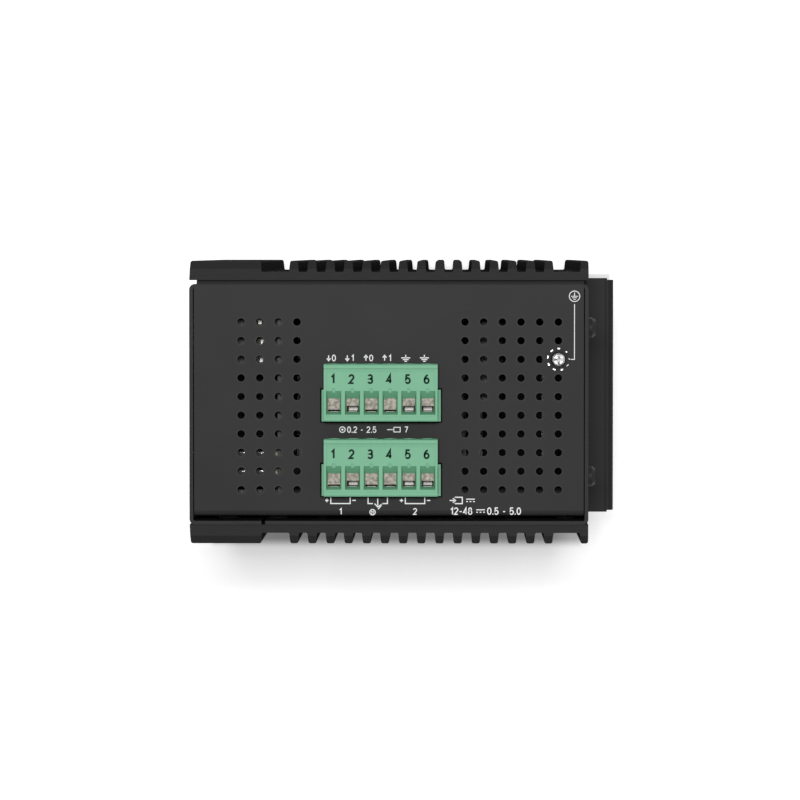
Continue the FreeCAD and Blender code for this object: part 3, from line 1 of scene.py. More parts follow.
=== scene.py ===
# %% [markdown]
# # An industrial Ethernet switch for a mounting rail
# The switch is a folded black steel case between two finned side panels. Two green
# screw terminals stand on its top end, the network ports are in its front, and a sprung
# latch for a rail is behind it. The construction is ready before this lesson starts:
# every node is at its real size and place. What is left to make is the finish: paint,
# plating, moulded plastic, print, contacts and lamps.
#
# All places are metres in the frame of the part: +Z is the end with the terminals,
# -Y the front with the ports, +Y the rail side.

# %% Load the fixed frame
import json
import math

import bmesh
import bpy
from mathutils import Matrix, Vector


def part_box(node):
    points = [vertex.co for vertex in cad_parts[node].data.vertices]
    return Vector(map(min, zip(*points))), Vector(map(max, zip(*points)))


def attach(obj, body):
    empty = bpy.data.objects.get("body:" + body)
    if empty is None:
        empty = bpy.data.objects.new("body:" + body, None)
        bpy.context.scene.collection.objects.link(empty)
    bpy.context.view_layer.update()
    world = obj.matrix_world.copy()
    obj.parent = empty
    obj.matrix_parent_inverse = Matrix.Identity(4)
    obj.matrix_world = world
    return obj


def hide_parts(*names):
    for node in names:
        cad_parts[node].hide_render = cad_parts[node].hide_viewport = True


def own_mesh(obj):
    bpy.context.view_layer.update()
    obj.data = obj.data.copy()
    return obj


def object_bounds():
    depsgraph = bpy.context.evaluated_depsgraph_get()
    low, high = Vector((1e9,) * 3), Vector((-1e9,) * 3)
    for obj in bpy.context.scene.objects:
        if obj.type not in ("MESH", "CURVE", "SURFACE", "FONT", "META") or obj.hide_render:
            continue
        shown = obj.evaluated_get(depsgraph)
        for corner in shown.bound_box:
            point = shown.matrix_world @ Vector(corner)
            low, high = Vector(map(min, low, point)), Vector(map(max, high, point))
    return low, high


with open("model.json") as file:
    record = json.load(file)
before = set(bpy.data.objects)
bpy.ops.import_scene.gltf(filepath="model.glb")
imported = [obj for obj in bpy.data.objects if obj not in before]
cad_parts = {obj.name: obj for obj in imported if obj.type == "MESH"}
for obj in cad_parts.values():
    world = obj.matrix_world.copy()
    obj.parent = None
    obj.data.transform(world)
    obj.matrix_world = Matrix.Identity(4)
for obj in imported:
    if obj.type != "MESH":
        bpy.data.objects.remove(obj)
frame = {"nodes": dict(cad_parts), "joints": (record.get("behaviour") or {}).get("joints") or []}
cad_low, cad_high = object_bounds()
nodes = frame["nodes"]
MM = 0.001
print("nodes", len(nodes), "box in mm", [round(v / MM, 1) for v in (*cad_low, *cad_high)])

# %% [markdown]
# ## Shader maths as plain formulas
# A finish is a small formula: a base shade, plus a little noise, times a mask. Wiring it
# by hand takes a node for every plus sign. It could also be typed as long lists of nodes
# and links, but those can't be read. So one small class wraps a socket, and adding or
# multiplying two of them adds the Math node that does it.

# %% A socket that can be added and multiplied
class Wire:
    """One output of a shader node. Sums and products of wires add Math nodes."""

    def __init__(self, tree, socket):
        self.tree = tree
        self.socket = socket

    def math(self, operation, *values):
        settings = {"operation": operation}
        return self.tree.node("ShaderNodeMath", settings, dict(enumerate(values)))

    def __add__(self, other):
        return self.math("ADD", self, other)

    def __radd__(self, other):
        return self.math("ADD", other, self)

    def __sub__(self, other):
        return self.math("SUBTRACT", self, other)

    def __rsub__(self, other):
        return self.math("SUBTRACT", other, self)

    def __mul__(self, other):
        return self.math("MULTIPLY", self, other)

    def __rmul__(self, other):
        return self.math("MULTIPLY", other, self)

    def __truediv__(self, other):
        return self.math("DIVIDE", self, other)

    def __abs__(self):
        return self.math("ABSOLUTE", self)

    def __gt__(self, other):
        return self.math("GREATER_THAN", self, other)

    def __lt__(self, other):
        return self.math("LESS_THAN", self, other)

    def larger(self, other):
        return self.math("MAXIMUM", self, other)

    def smaller(self, other):
        return self.math("MINIMUM", self, other)

    def root(self):
        return self.math("SQRT", self)


print("a wire can be added, multiplied and compared")

# %% [markdown]
# ## A tree of nodes
# Wires need a place to put their nodes. A tree makes any node from its type, its settings
# and what goes into its sockets. A colour is written as red, green and blue; the fourth
# number, which is always 1, is added here. The floor and the surroundings both have to
# know what the eye sees, so the tree can tell that too.

# %% The tree class
class Tree:
    """The shader nodes of one material or of the surroundings."""

    def __init__(self, tree):
        self.tree = tree

    def put(self, socket, value):
        if isinstance(value, Wire):
            self.tree.links.new(value.socket, socket)
        elif socket.type == "RGBA":
            socket.default_value = (*value, 1.0)
        else:
            socket.default_value = value

    def node(self, kind, settings=None, sockets=None, output=0):
        """Any node: its type, its settings, and the values or wires of its sockets."""
        made = self.tree.nodes.new(kind)
        for name, value in (settings or {}).items():
            setattr(made, name, value)
        for name, value in (sockets or {}).items():
            self.put(made.inputs[name], value)
        return Wire(self, made.outputs[output])

    def seen(self):
        """1 for what is seen straight, in a reflection or through glass; 0 for other light."""
        kinds = ("Is Camera Ray", "Is Glossy Ray", "Is Transmission Ray")
        camera, mirror, glass = [self.node("ShaderNodeLightPath", output=kind) for kind in kinds]
        return camera.larger(mirror).larger(glass)


print("a tree makes nodes of any type")

# %% [markdown]
# ## A finish
# Each finish is one Principled shader. What is the same all over, such as a metal's
# value of 1, is set on the shader itself. What changes over the surface is painted by a
# wire. Noise is measured in millimetres, so that a grain is as coarse as the real one on
# every piece.

# %% The finish class
class Finish(Tree):
    """A material in the making."""

    def __init__(self, name, **constants):
        self.material = bpy.data.materials.new(name)
        self.material.use_nodes = True
        super().__init__(self.material.node_tree)
        self.shader = self.tree.nodes["Principled BSDF"]
        self.place = None
        self.paint(**constants)

    def paint(self, **values):
        """Feeds the shader's sockets and hands the material over."""
        for name, value in values.items():
            self.put(self.shader.inputs[name.replace("_", " ")], value)
        return self.material

    def millimetres(self, stretch=(1.0, 1.0, 1.0)):
        """The place in millimetres, squeezed along an axis to draw a grain out."""
        if self.place is None:
            self.place = self.node("ShaderNodeTexCoord", output="Object")
        scale = [s / MM for s in stretch]
        settings = {"operation": "MULTIPLY"}
        return self.node("ShaderNodeVectorMath", settings, {0: self.place, 1: scale})

    def noise(self, per_mm, detail=2.0, stretch=(1.0, 1.0, 1.0)):
        """Noise from 0 to 1, with per_mm lumps to a millimetre."""
        sockets = {"Vector": self.millimetres(stretch), "Scale": per_mm, "Detail": detail}
        return self.node("ShaderNodeTexNoise", None, sockets)

    def axis(self, kind, which):
        """One part of a vector: the place in millimetres or the surface's direction."""
        if kind == "place":
            source = self.millimetres()
        else:
            source = self.node("ShaderNodeNewGeometry", output="Normal")
        return self.node("ShaderNodeSeparateXYZ", None, {0: source}, which)

    def to_grid(self, value, first, pitch):
        """How far a value lies from the nearest line of a grid, in pitches."""
        steps = (value - first) / pitch
        return steps - steps.math("ROUND", steps)

    def inside(self, value, low, high):
        """1 between low and high, 0 outside."""
        return (value > low) * (value < high)

    def smooth(self, value, low, high):
        """0 below low, 1 above high, and a soft step between them."""
        settings = {"interpolation_type": "SMOOTHSTEP"}
        sockets = {"Value": value, "From Min": low, "From Max": high}
        return self.node("ShaderNodeMapRange", settings, sockets)

    def blend(self, mask, below, above):
        """A colour that goes from below to above as the mask goes from 0 to 1."""
        settings = {"data_type": "RGBA"}
        return self.node("ShaderNodeMix", settings, {0: mask, 6: below, 7: above}, 2)

    def skin(self, colour, roughness, height, depth_mm, ease_mm=0.0, **more):
        """The finished surface: colour and roughness over a relief with eased edges."""
        bump = {"Height": height, "Distance": depth_mm * MM}
        if ease_mm:
            edge = {"Radius": ease_mm * MM}
            bump["Normal"] = self.node("ShaderNodeBevel", {"samples": 4}, edge)
        normal = self.node("ShaderNodeBump", None, bump)
        return self.paint(Base_Color=colour, Roughness=roughness, Normal=normal, **more)


def grey(value, warmth=0.0):
    """A neutral colour, a little warmer or colder."""
    return (value * (1 + warmth), value, value * (1 - warmth))


finishes = {}
print("a light grey", grey(0.8))

# %% [markdown]
# ## Powder coat
# The case and the bracket are steel sheet with a fine matt powder coat. Powder melts into
# a skin with two kinds of relief: shallow orange peel about a millimetre across, and a
# grain finer than a tenth of a millimetre. A flat black would look like paper, because it
# is this relief that breaks up the reflection. Round each vent of the top end a thin paler
# ring is painted, a painted highlight of the hole's edge. The vents stand on a 5 mm grid,
# so the ring is a formula on the distance to the nearest grid point. The press brake also
# leaves a fine groove along the start of the bracket's bend, and a darker line is painted
# along it, a painted shade of the bend.

# %% Painted highlight rings round the vents
vent_pitch = 5.0
vent_radius = 1.0
ring_from = vent_radius * 1.05
ring_to = vent_radius * 1.4
vent_x = (-21.6, 23.4)
vent_y = ((-44.1, -29.1), (15.9, 40.9))


def vent_ring_highlights(finish):
    """1 on the thin painted highlight ring round each vent of the top end, 0 elsewhere."""
    x = finish.axis("place", 0)
    y = finish.axis("place", 1)
    half = vent_pitch / 2
    off_x = finish.to_grid(x, vent_x[0], vent_pitch)
    upward = finish.smooth(finish.axis("direction", 2), 0.9, 0.99)
    across = finish.inside(x, vent_x[0] - half, vent_x[1] + half)
    rings = 0.0
    for first, last in vent_y:
        off_y = finish.to_grid(y, first, vent_pitch)
        distance = (off_x * off_x + off_y * off_y).root() * vent_pitch
        group = finish.inside(y, first - half, last + half)
        rings = rings + group * (1.0 - finish.smooth(distance, ring_from, ring_to))
    return rings * across * upward


print("rings from", ring_from, "to", ring_to, "mm")

# %% Powder coat
def powder_coat(name, shade, vents=False, bend_line=None):
    finish = Finish(name, Specular_IOR_Level=0.05)
    peel = finish.noise(0.9, 1.0)
    grain = finish.noise(9.0, 3.0)
    cloud = finish.noise(0.05, 2.0)
    mask = 0.55 * grain + 0.35 * cloud
    height = peel * 0.8 + grain * 0.2
    if vents:
        # painted highlight: a paler ring round each vent
        mask = mask + 0.9 * vent_ring_highlights(finish)
    if bend_line is not None:
        # a groove in the relief along the bend, with a darker line painted along it: a painted
        # shade of the bend
        off_line = abs(finish.axis("place", 1) - bend_line)
        bend_groove_and_shade = 1.0 - finish.smooth(off_line, 0.12, 0.34)
        mask = mask - 0.9 * bend_groove_and_shade
        height = height - 2.0 * bend_groove_and_shade
    colour = finish.blend(mask, grey(shade * 0.62), grey(shade * 1.45))
    return finish.skin(colour, 0.35 + 0.14 * grain, height, 0.012, 0.12)


line_from_end = 2.2
bracket_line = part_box("din_bracket")[1].y / MM - line_from_end
finishes["case_paint"] = powder_coat("case_powder_coat", 0.026, vents=True)
finishes["bracket_paint"] = powder_coat("bracket_powder_coat", 0.021, bend_line=bracket_line)
print("powder coats", list(finishes))

# %% [markdown]
# ## Side panels
# The finned panels are aluminium, blasted and anodised black. They could be painted like
# the case, but anodising follows the metal: the drawn sides keep faint streaks along
# their height, and the two ends, which are milled, keep close cutter marks. The direction
# of the surface tells the ends from the sides. The ends and the fin tips carry a thin clear
# coat, and their colour is painted a little lighter, a painted sheen.

# %% Black anodised aluminium
fin_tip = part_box("heatsink_right")[1].x / MM


def anodised():
    finish = Finish("side_panel_anodised", Specular_IOR_Level=0.0, Coat_Roughness=0.36)
    streaks = finish.noise(3.0, 2.0, stretch=(1.0, 1.0, 0.03))
    cutter = finish.noise(4.0, 1.0, stretch=(1.0, 0.05, 1.0))
    blast = finish.noise(11.0, 2.0)
    end = finish.smooth(abs(finish.axis("direction", 2)), 0.8, 0.98)
    tips = finish.smooth(abs(finish.axis("place", 0)), fin_tip - 0.5, fin_tip - 0.2)
    marks = end * cutter + (1.0 - end) * streaks
    # painted sheen: the ends and fin tips are a little lighter, and they carry the thin coat
    sheen_faces = end.larger(tips)
    colour = finish.blend(0.5 * marks + 0.3 * blast + 0.12 * sheen_faces, grey(0.02), grey(0.041))
    height = 0.5 * marks + 0.5 * blast
    return finish.skin(colour, 0.5 + 0.15 * blast, height, 0.008, 0.15,
                       Coat_Weight=0.012 * sheen_faces)


finishes["panel_black"] = anodised()
print("fin tips at", round(fin_tip, 1), "mm")

# %% [markdown]
# ## Plated and bare metals
# Zinc, nickel, tin and bare aluminium differ in colour, in how far they scatter a
# reflection and in the grain that rolling, turning or casting leaves. One recipe covers
# them: two shades, a roughness, and the way in which the grain is drawn out. A jack's
# shield keeps its colour at its mouth and is painted darker farther in, a painted shade of
# the inside of the jack.

# %% The recipe for metals
front_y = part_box("front_panel")[0].y / MM
shade_from = front_y + 4.0
shade_to = front_y + 9.0
even = (1.0, 1.0, 1.0)
drawn_x = (0.05, 1.0, 1.0)
drawn_y = (1.0, 0.05, 1.0)
drawn_z = (1.0, 1.0, 0.04)


def plated(slot, name, dull, bright, rough, grain_per_mm=6.0, stretch=even, depth=0.004,
           shaded_inside=False, metal=1.0):
    finish = Finish(name, Metallic=metal)
    grain = finish.noise(grain_per_mm, 3.0, stretch)
    bloom = finish.noise(0.35, 2.0)
    colour = finish.blend(0.45 * grain + 0.6 * bloom, dull, bright)
    if shaded_inside:
        # painted shade: the shield turns darker from shade_from to shade_to, inside the jack
        inner_shade = finish.smooth(finish.axis("place", 1), shade_from, shade_to)
        colour = finish.blend(inner_shade, colour, grey(0.05))
        bloom = bloom + 0.8 * inner_shade
    rough = rough + 0.22 * bloom - 0.08 * grain
    finishes[slot] = finish.skin(colour, rough, grain, depth, 0.08)


print("shields turn dull from y", shade_from, "to", shade_to)

# %% Metals
plated("zinc_sheet", "zinc_plated_sheet", (0.33, 0.35, 0.38), (0.53, 0.55, 0.575), 0.32,
       stretch=drawn_x)
plated("zinc_cast", "zinc_die_casting", grey(0.27), (0.47, 0.47, 0.46), 0.42, 1.8, depth=0.05)
plated("zinc_steel", "zinc_plated_steel", (0.32, 0.33, 0.34), (0.55, 0.55, 0.53), 0.3)
plated("spring_steel", "drawn_spring_wire", grey(0.3), (0.55, 0.55, 0.54), 0.26, 8.0)
# the shield is painted darker inside the jack, a painted shade
plated("jack_shield", "tinned_shield_sheet", (0.45, 0.44, 0.42), (0.68, 0.67, 0.64), 0.34, 4.0,
       drawn_y, shaded_inside=True)
plated("cage_steel", "nickel_cage_sheet", (0.3, 0.29, 0.275), (0.52, 0.505, 0.48), 0.42, 4.0,
       drawn_y)
plated("tin", "tinned_copper", (0.2, 0.2, 0.19), (0.5, 0.49, 0.46), 0.5)
plated("bare_aluminium", "milled_aluminium", (0.55, 0.56, 0.57), (0.74, 0.75, 0.76), 0.34, 5.0,
       drawn_z)
plated("contact_gold", "gold_flashed_contact", (0.8, 0.5, 0.16), (0.95, 0.66, 0.26), 0.3,
       metal=0.3)
print("finishes so far", len(finishes))

# %% [markdown]
# ## Nickel, dull and bright
# The clamp cages in the terminals are stamped and tumbled, so they are matt with crossing
# scratches, and long contact with air has turned the nickel slightly warm. The earth
# screw is new and bright, with the round marks of the lathe. Below its crown, in the
# socket and down its sides, and round its rim it is painted darker, a painted shade. Its
# washer is painted dark with bright spots on the tips of the teeth: painted shade and
# painted glints for the lit and shaded facets of its twisted teeth. All three share one
# slot in the record, but each node can be given a finish of its own.

# %% Tumbled nickel
def tumbled_nickel():
    finish = Finish("tumbled_nickel", Metallic=1.0)
    across = finish.noise(5.0, 3.0, stretch=(1.0, 0.12, 1.0))
    along = finish.noise(7.0, 2.0, stretch=(0.12, 1.0, 1.0))
    scratches = 0.5 * across + 0.5 * along
    patina = finish.noise(1.1, 2.0)
    worn = finish.smooth(scratches, 0.3, 0.7)
    aged = finish.smooth(patina, 0.35, 0.65)
    colour = finish.blend(0.55 * worn + 0.45 * aged, (0.09, 0.083, 0.073), (0.37, 0.342, 0.3))
    return finish.skin(colour, 0.56 + 0.16 * scratches, scratches, 0.01, 0.1)


finishes["nickel"] = tumbled_nickel()
print("tumbled nickel for the clamp cages")

# %% A turned head and a toothed washer
earth_low, earth_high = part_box("earth_screw")
earth_x = (earth_low.x + earth_high.x) / 2
earth_y = (earth_low.y + earth_high.y) / 2
lathe_marks_per_mm = 22.0 / (2 * math.pi)
tooth_count = 9
first_tooth = 0.43
washer_low, washer_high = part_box("star_washer")
washer_reach = (washer_high.x - washer_low.x) / 2 / MM


def from_earth_screw(finish):
    """The distance from the earth screw's axis in millimetres, and the turn about it."""
    x = finish.axis("place", 0) - earth_x / MM
    y = finish.axis("place", 1) - earth_y / MM
    return (x * x + y * y).root(), y.math("ARCTAN2", y, x)


def turned_head():
    finish = Finish("turned_screw_head", Metallic=1.0)
    away = from_earth_screw(finish)[0]
    rings = away.math("SINE", away * (2 * math.pi * lathe_marks_per_mm)) * 0.5 + 0.5
    wear = finish.noise(1.6, 3.0)
    crown = earth_high.z / MM
    # painted shade: the head is darker below its crown, in the socket and down the sides, and at
    # its rim
    below_crown_shade = 1.0 - finish.smooth(finish.axis("place", 2), crown - 0.75, crown - 0.1)
    rim = finish.smooth(away, 2.0, 2.2)
    dark = below_crown_shade * 0.75 + rim * 0.5 + finish.smooth(wear, 0.46, 0.56) * 0.6
    colour = finish.blend(dark, (0.5, 0.5, 0.495), grey(0.05))
    return finish.skin(colour, 0.3 + 0.2 * wear, rings * 0.3 + wear, 0.05, 0.15)


def toothed_washer():
    finish = Finish("toothed_washer", Metallic=1.0)
    away, turn = from_earth_screw(finish)
    phase = (turn * tooth_count) - first_tooth * 2 * math.pi
    wave = phase.math("COSINE", phase) * 0.5 + 0.5
    scale = finish.noise(1.4, 2.0)
    # painted glints on the tips of the teeth over a dark painted shade, for the lit and shaded
    # facets of the teeth
    tips = finish.smooth(away, washer_reach - 0.42, washer_reach - 0.2)
    tips = tips * finish.smooth(wave, 0.6, 0.85) * finish.smooth(scale, 0.36, 0.5)
    colour = finish.blend(tips, grey(0.012), (0.42, 0.42, 0.415))
    return finish.skin(colour, 0.5 - 0.2 * tips, scale, 0.03, 0.12)


own_finish = {"earth_screw": turned_head(), "star_washer": toothed_washer()}
print("finishes of their own:", list(own_finish))

# %% [markdown]
# ## Plastics
# A moulded part copies the spark-eroded skin of its mould, a fine and even grain, and its
# pigment is very slightly cloudy. The terminals are a pale green polyamide that lets a
# little light in. Their base colour already holds that, so no subsurface light is needed.
# The inside of a wire funnel turns a deeper green by itself, because light meets plastic
# there several times.

# %% Moulded plastics
def moulded(slot, name, dark, light, rough, grain_per_mm=7.0, edge=0.1, **constants):
    finish = Finish(name, **constants)
    grain = finish.noise(grain_per_mm, 2.0)
    cloud = finish.noise(0.25, 2.0)
    colour = finish.blend(0.3 * grain + 0.7 * cloud, dark, light)
    finishes[slot] = finish.skin(colour, rough + 0.12 * grain, grain, 0.006, edge)


moulded("terminal_green", "green_polyamide", (0.148, 0.385, 0.235), (0.174, 0.44, 0.268), 0.42,
        edge=0.05, Specular_IOR_Level=0.22)
moulded("black_plastic", "black_glass_filled", grey(0.012), grey(0.022), 0.42,
        Specular_IOR_Level=0.3)
moulded("button_plastic", "dark_grey_button", grey(0.03), grey(0.045), 0.4)
moulded("chip_black", "moulded_package", grey(0.014), grey(0.026), 0.5, 9.0)
moulded("thermal_pad", "soft_thermal_pad", (0.28, 0.33, 0.39), (0.36, 0.41, 0.47), 0.7, 3.0)
moulded("ferrite", "ferrite_and_tape", grey(0.03, 0.05), grey(0.06, 0.05), 0.46, 5.0)
moulded("lamp_body", "lamp_body", (0.62, 0.6, 0.42), (0.72, 0.7, 0.5), 0.35)
moulded("lens_green", "green_lamp_window", (0.10, 0.38, 0.12), (0.16, 0.52, 0.18), 0.22,
        Coat_Weight=0.4)
moulded("lens_amber", "amber_lamp_window", (0.62, 0.30, 0.05), (0.78, 0.42, 0.08), 0.22,
        Coat_Weight=0.4)
print("finishes so far", len(finishes))

# %% [markdown]
# ## Light pipes
# An unlit light pipe looks milky, because its end is ground to spread the light. Its rim
# is clear and shows the dark hole round it, and the lamp behind leaves a faint spot in the
# middle. The pipes stand in a regular grid, so the distance to the nearest grid point
# gives all three.

# %% Ground ends of the light pipes
pipe_pitch = {"x": 5.0, "z": 6.0}
pipe_radius = 1.25
pipe_low, pipe_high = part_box("light_pipes")
pipe_x = pipe_low.x / MM + pipe_radius
pipe_z = pipe_low.z / MM + pipe_radius


def ground_light_pipe():
    finish = Finish("ground_light_pipe", Transmission_Weight=0.3, IOR=1.49)
    off_x = finish.to_grid(finish.axis("place", 0), pipe_x, pipe_pitch["x"]) * pipe_pitch["x"]
    off_z = finish.to_grid(finish.axis("place", 2), pipe_z, pipe_pitch["z"]) * pipe_pitch["z"]
    away = (off_x * off_x + off_z * off_z).root()
    frost = finish.noise(14.0, 2.0)
    rim = finish.smooth(away, 0.86, 1.12)
    lamp = 1.0 - finish.smooth(away, 0.2, 0.62)
    milky = finish.blend(frost * 0.6 + 0.4 * lamp, (0.5, 0.53, 0.52), (0.78, 0.8, 0.74))
    colour = finish.blend(rim, milky, (0.13, 0.14, 0.14))
    height = frost * (1.0 - rim)
    return finish.skin(colour, 0.5 - 0.36 * rim, height, 0.01, 0.12, Coat_Weight=0.5 * rim)


finishes["clear_plastic"] = ground_light_pipe()
print("light pipes from x", round(pipe_x, 2), "z", round(pipe_z, 2))

# %% [markdown]
# ## Screws, cans, print and boards
# The black screws are passivated and, because the switch is new, worn bright nowhere. The
# capacitors are aluminium cans in a dark sleeve. Print is ink that is never quite even. A
# circuit board is solder mask over copper: the tracks show as slightly paler green. Where
# a board faces up, on its edge, it is painted nearly black, a painted shade of the inside
# of the case.

# %% The other finishes
sleeve_end = 2.2


def black_plating():
    finish = Finish("black_passivated_steel", Specular_IOR_Level=0.12)
    turned = finish.noise(8.0, 2.0)
    colour = finish.blend(turned, grey(0.012), grey(0.026))
    return finish.skin(colour, 0.42 + 0.2 * turned, turned, 0.004, 0.1)


def can_sleeve():
    finish = Finish("capacitor_sleeve", Coat_Weight=0.3)
    top = finish.smooth(finish.axis("place", 0), sleeve_end, sleeve_end + 0.4)
    shrink = finish.noise(1.5, 2.0, stretch=(0.2, 1.0, 1.0))
    sleeve = finish.blend(shrink, (0.10, 0.11, 0.14), (0.16, 0.17, 0.2))
    colour = finish.blend(top, sleeve, (0.62, 0.62, 0.63))
    return finish.skin(colour, 0.3 + 0.2 * shrink, shrink, 0.02, 0.1, Metallic=top)


def ink(name, thin, full, gloss):
    finish = Finish(name, Specular_IOR_Level=gloss)
    speck = finish.noise(6.0, 2.0)
    colour = finish.blend(finish.smooth(speck, 0.25, 0.5), thin, full)
    return finish.skin(colour, 0.5 + 0.2 * speck, speck, 0.004)


def solder_mask():
    finish = Finish("solder_mask", Specular_IOR_Level=0.2)
    cells = finish.node("ShaderNodeTexVoronoi", {"feature": "F1", "distance": "MANHATTAN"},
                        {"Vector": finish.millimetres(), "Scale": 0.42})
    tracks = cells.math("FRACT", cells * 4.0)
    copper = finish.smooth(tracks, 0.45, 0.55)
    fibre = finish.noise(5.0, 1.0)
    colour = finish.blend(0.7 * copper + 0.3 * fibre, (0.008, 0.06, 0.03), (0.02, 0.14, 0.06))
    # painted shade: faces of the board that point up, its edge, turn nearly black
    upward_shade = finish.smooth(finish.axis("direction", 2), 0.5, 0.8)
    colour = finish.blend(upward_shade, colour, (0.006, 0.008, 0.004))
    return finish.skin(colour, 0.34 + 0.1 * fibre, copper * 0.8 + fibre * 0.2, 0.03, 0.1)


finishes["black_screw"] = black_plating()
finishes["can_sleeve"] = can_sleeve()
finishes["print_white"] = ink("white_screen_print", grey(0.6), grey(0.86), 0.3)
finishes["print_dark"] = ink("dark_green_print", (0.008, 0.032, 0.02), (0.005, 0.02, 0.013), 0.08)
finishes["board_green"] = solder_mask()
print("all finishes", len(finishes) + len(own_finish))

# %% [markdown]
# ## Dress the frame
# Each CAD node arrives with a material named after its slot in the record. Only that
# material is exchanged for the finish of the same name; the mesh stays as it is.

# %% Exchange the materials
# painted shade: the clinch nuts take the black screw finish, so they stay dark in the slot beside
# the cover
own_finish["clinch_nuts"] = finishes["black_screw"]
for name, node in nodes.items():
    for place in node.material_slots:
        slot = place.material.name.split(".")[0]
        place.material = own_finish.get(name, finishes[slot])
print("dressed", len(nodes), "nodes")

# %% [markdown]
# ## Stroke figures
# The print needs only the ten digits, a dash and a point. A text object would give them
# too, but the thin stems of its font can't be made bolder evenly. Here each figure is one
# or two pen strokes of straight runs and arcs in a cell one unit high, and the pen's
# width is chosen for each print.

# %% Points of arcs, circles and rectangles
def arc(u, v, radius_u, radius_v, start, end, steps=14):
    """Points on part of an ellipse, in degrees."""
    turns = [math.radians(start + (end - start) * i / steps) for i in range(steps + 1)]
    return [(u + radius_u * math.cos(t), v + radius_v * math.sin(t)) for t in turns]


def ring(u, v, radius_u, radius_v, steps=24):
    return arc(u, v, radius_u, radius_v, 0, 360 - 360 / steps, steps - 1)


def rectangle(u, v, width, height):
    corners = ((-0.5, -0.5), (0.5, -0.5), (0.5, 0.5), (-0.5, 0.5))
    return [(u + p * width, v + q * height) for p, q in corners]


def circle(radius, steps=24):
    return ring(0, 0, radius, radius, steps)


def moved(points, u=0.0, v=0.0):
    """Points given in millimetres from (u, v), in metres."""
    return [(u + p * MM, v + q * MM) for p, q in points]


print("a circle of", len(circle(1.0)), "points")

# %% Stroke figures: the advance, then (closed, points) for each stroke
spacing = 0.24
glyphs = {
    "0": (0.78, [(True, ring(0.27, 0.5, 0.27, 0.5))]),
    "1": (0.62, [(False, [(0.06, 0.74), (0.32, 1.0), (0.32, 0.0)])]),
    "2": (0.78, [(False, arc(0.27, 0.72, 0.26, 0.28, 170, -32) + [(0.02, 0.0), (0.54, 0.0)])]),
    "3": (0.78, [(False, arc(0.26, 0.76, 0.23, 0.24, 155, -90)
                  + arc(0.26, 0.26, 0.27, 0.26, 85, -155))]),
    "4": (0.80, [(False, [(0.58, 0.28), (0.02, 0.28), (0.42, 1.0), (0.42, 0.0)])]),
    "5": (0.78, [(False, [(0.5, 1.0), (0.1, 1.0), (0.05, 0.5)]
                  + arc(0.26, 0.31, 0.27, 0.31, 125, -150))]),
    "6": (0.78, [(True, ring(0.27, 0.3, 0.26, 0.3)),
                 (False, arc(0.52, 0.3, 0.51, 0.7, 100, 178))]),
    "7": (0.74, [(False, [(0.0, 1.0), (0.52, 1.0), (0.18, 0.0)])]),
    "8": (0.78, [(True, ring(0.27, 0.75, 0.21, 0.25)), (True, ring(0.27, 0.26, 0.26, 0.26))]),
    "9": (0.78, [(True, ring(0.27, 0.7, 0.26, 0.3)),
                 (False, arc(0.0, 0.72, 0.53, 0.72, -72, -4))]),
    "-": (0.62, [(False, [(0.04, 0.42), (0.36, 0.42)])]),
    ".": (0.34, [(False, [(0.05, -0.06), (0.05, 0.12)])]),
    " ": (0.5, []),
}
print("figures", "".join(glyphs))

# %% [markdown]
# ## A bench for thin parts
# Print, contacts, springs and lamp windows are all small meshes in one of three planes.
# They could be curves with a bevel, but a curve rounds its corners. A bench lays out flat
# shapes in (u, v) and gives them a thickness, with clean faces. It can be placed anew
# between two shapes, so that one piece may have parts in many places.

# %% The bench
def new_object(name, data):
    made = bpy.data.objects.new(name, data)
    bpy.context.scene.collection.objects.link(made)
    return made


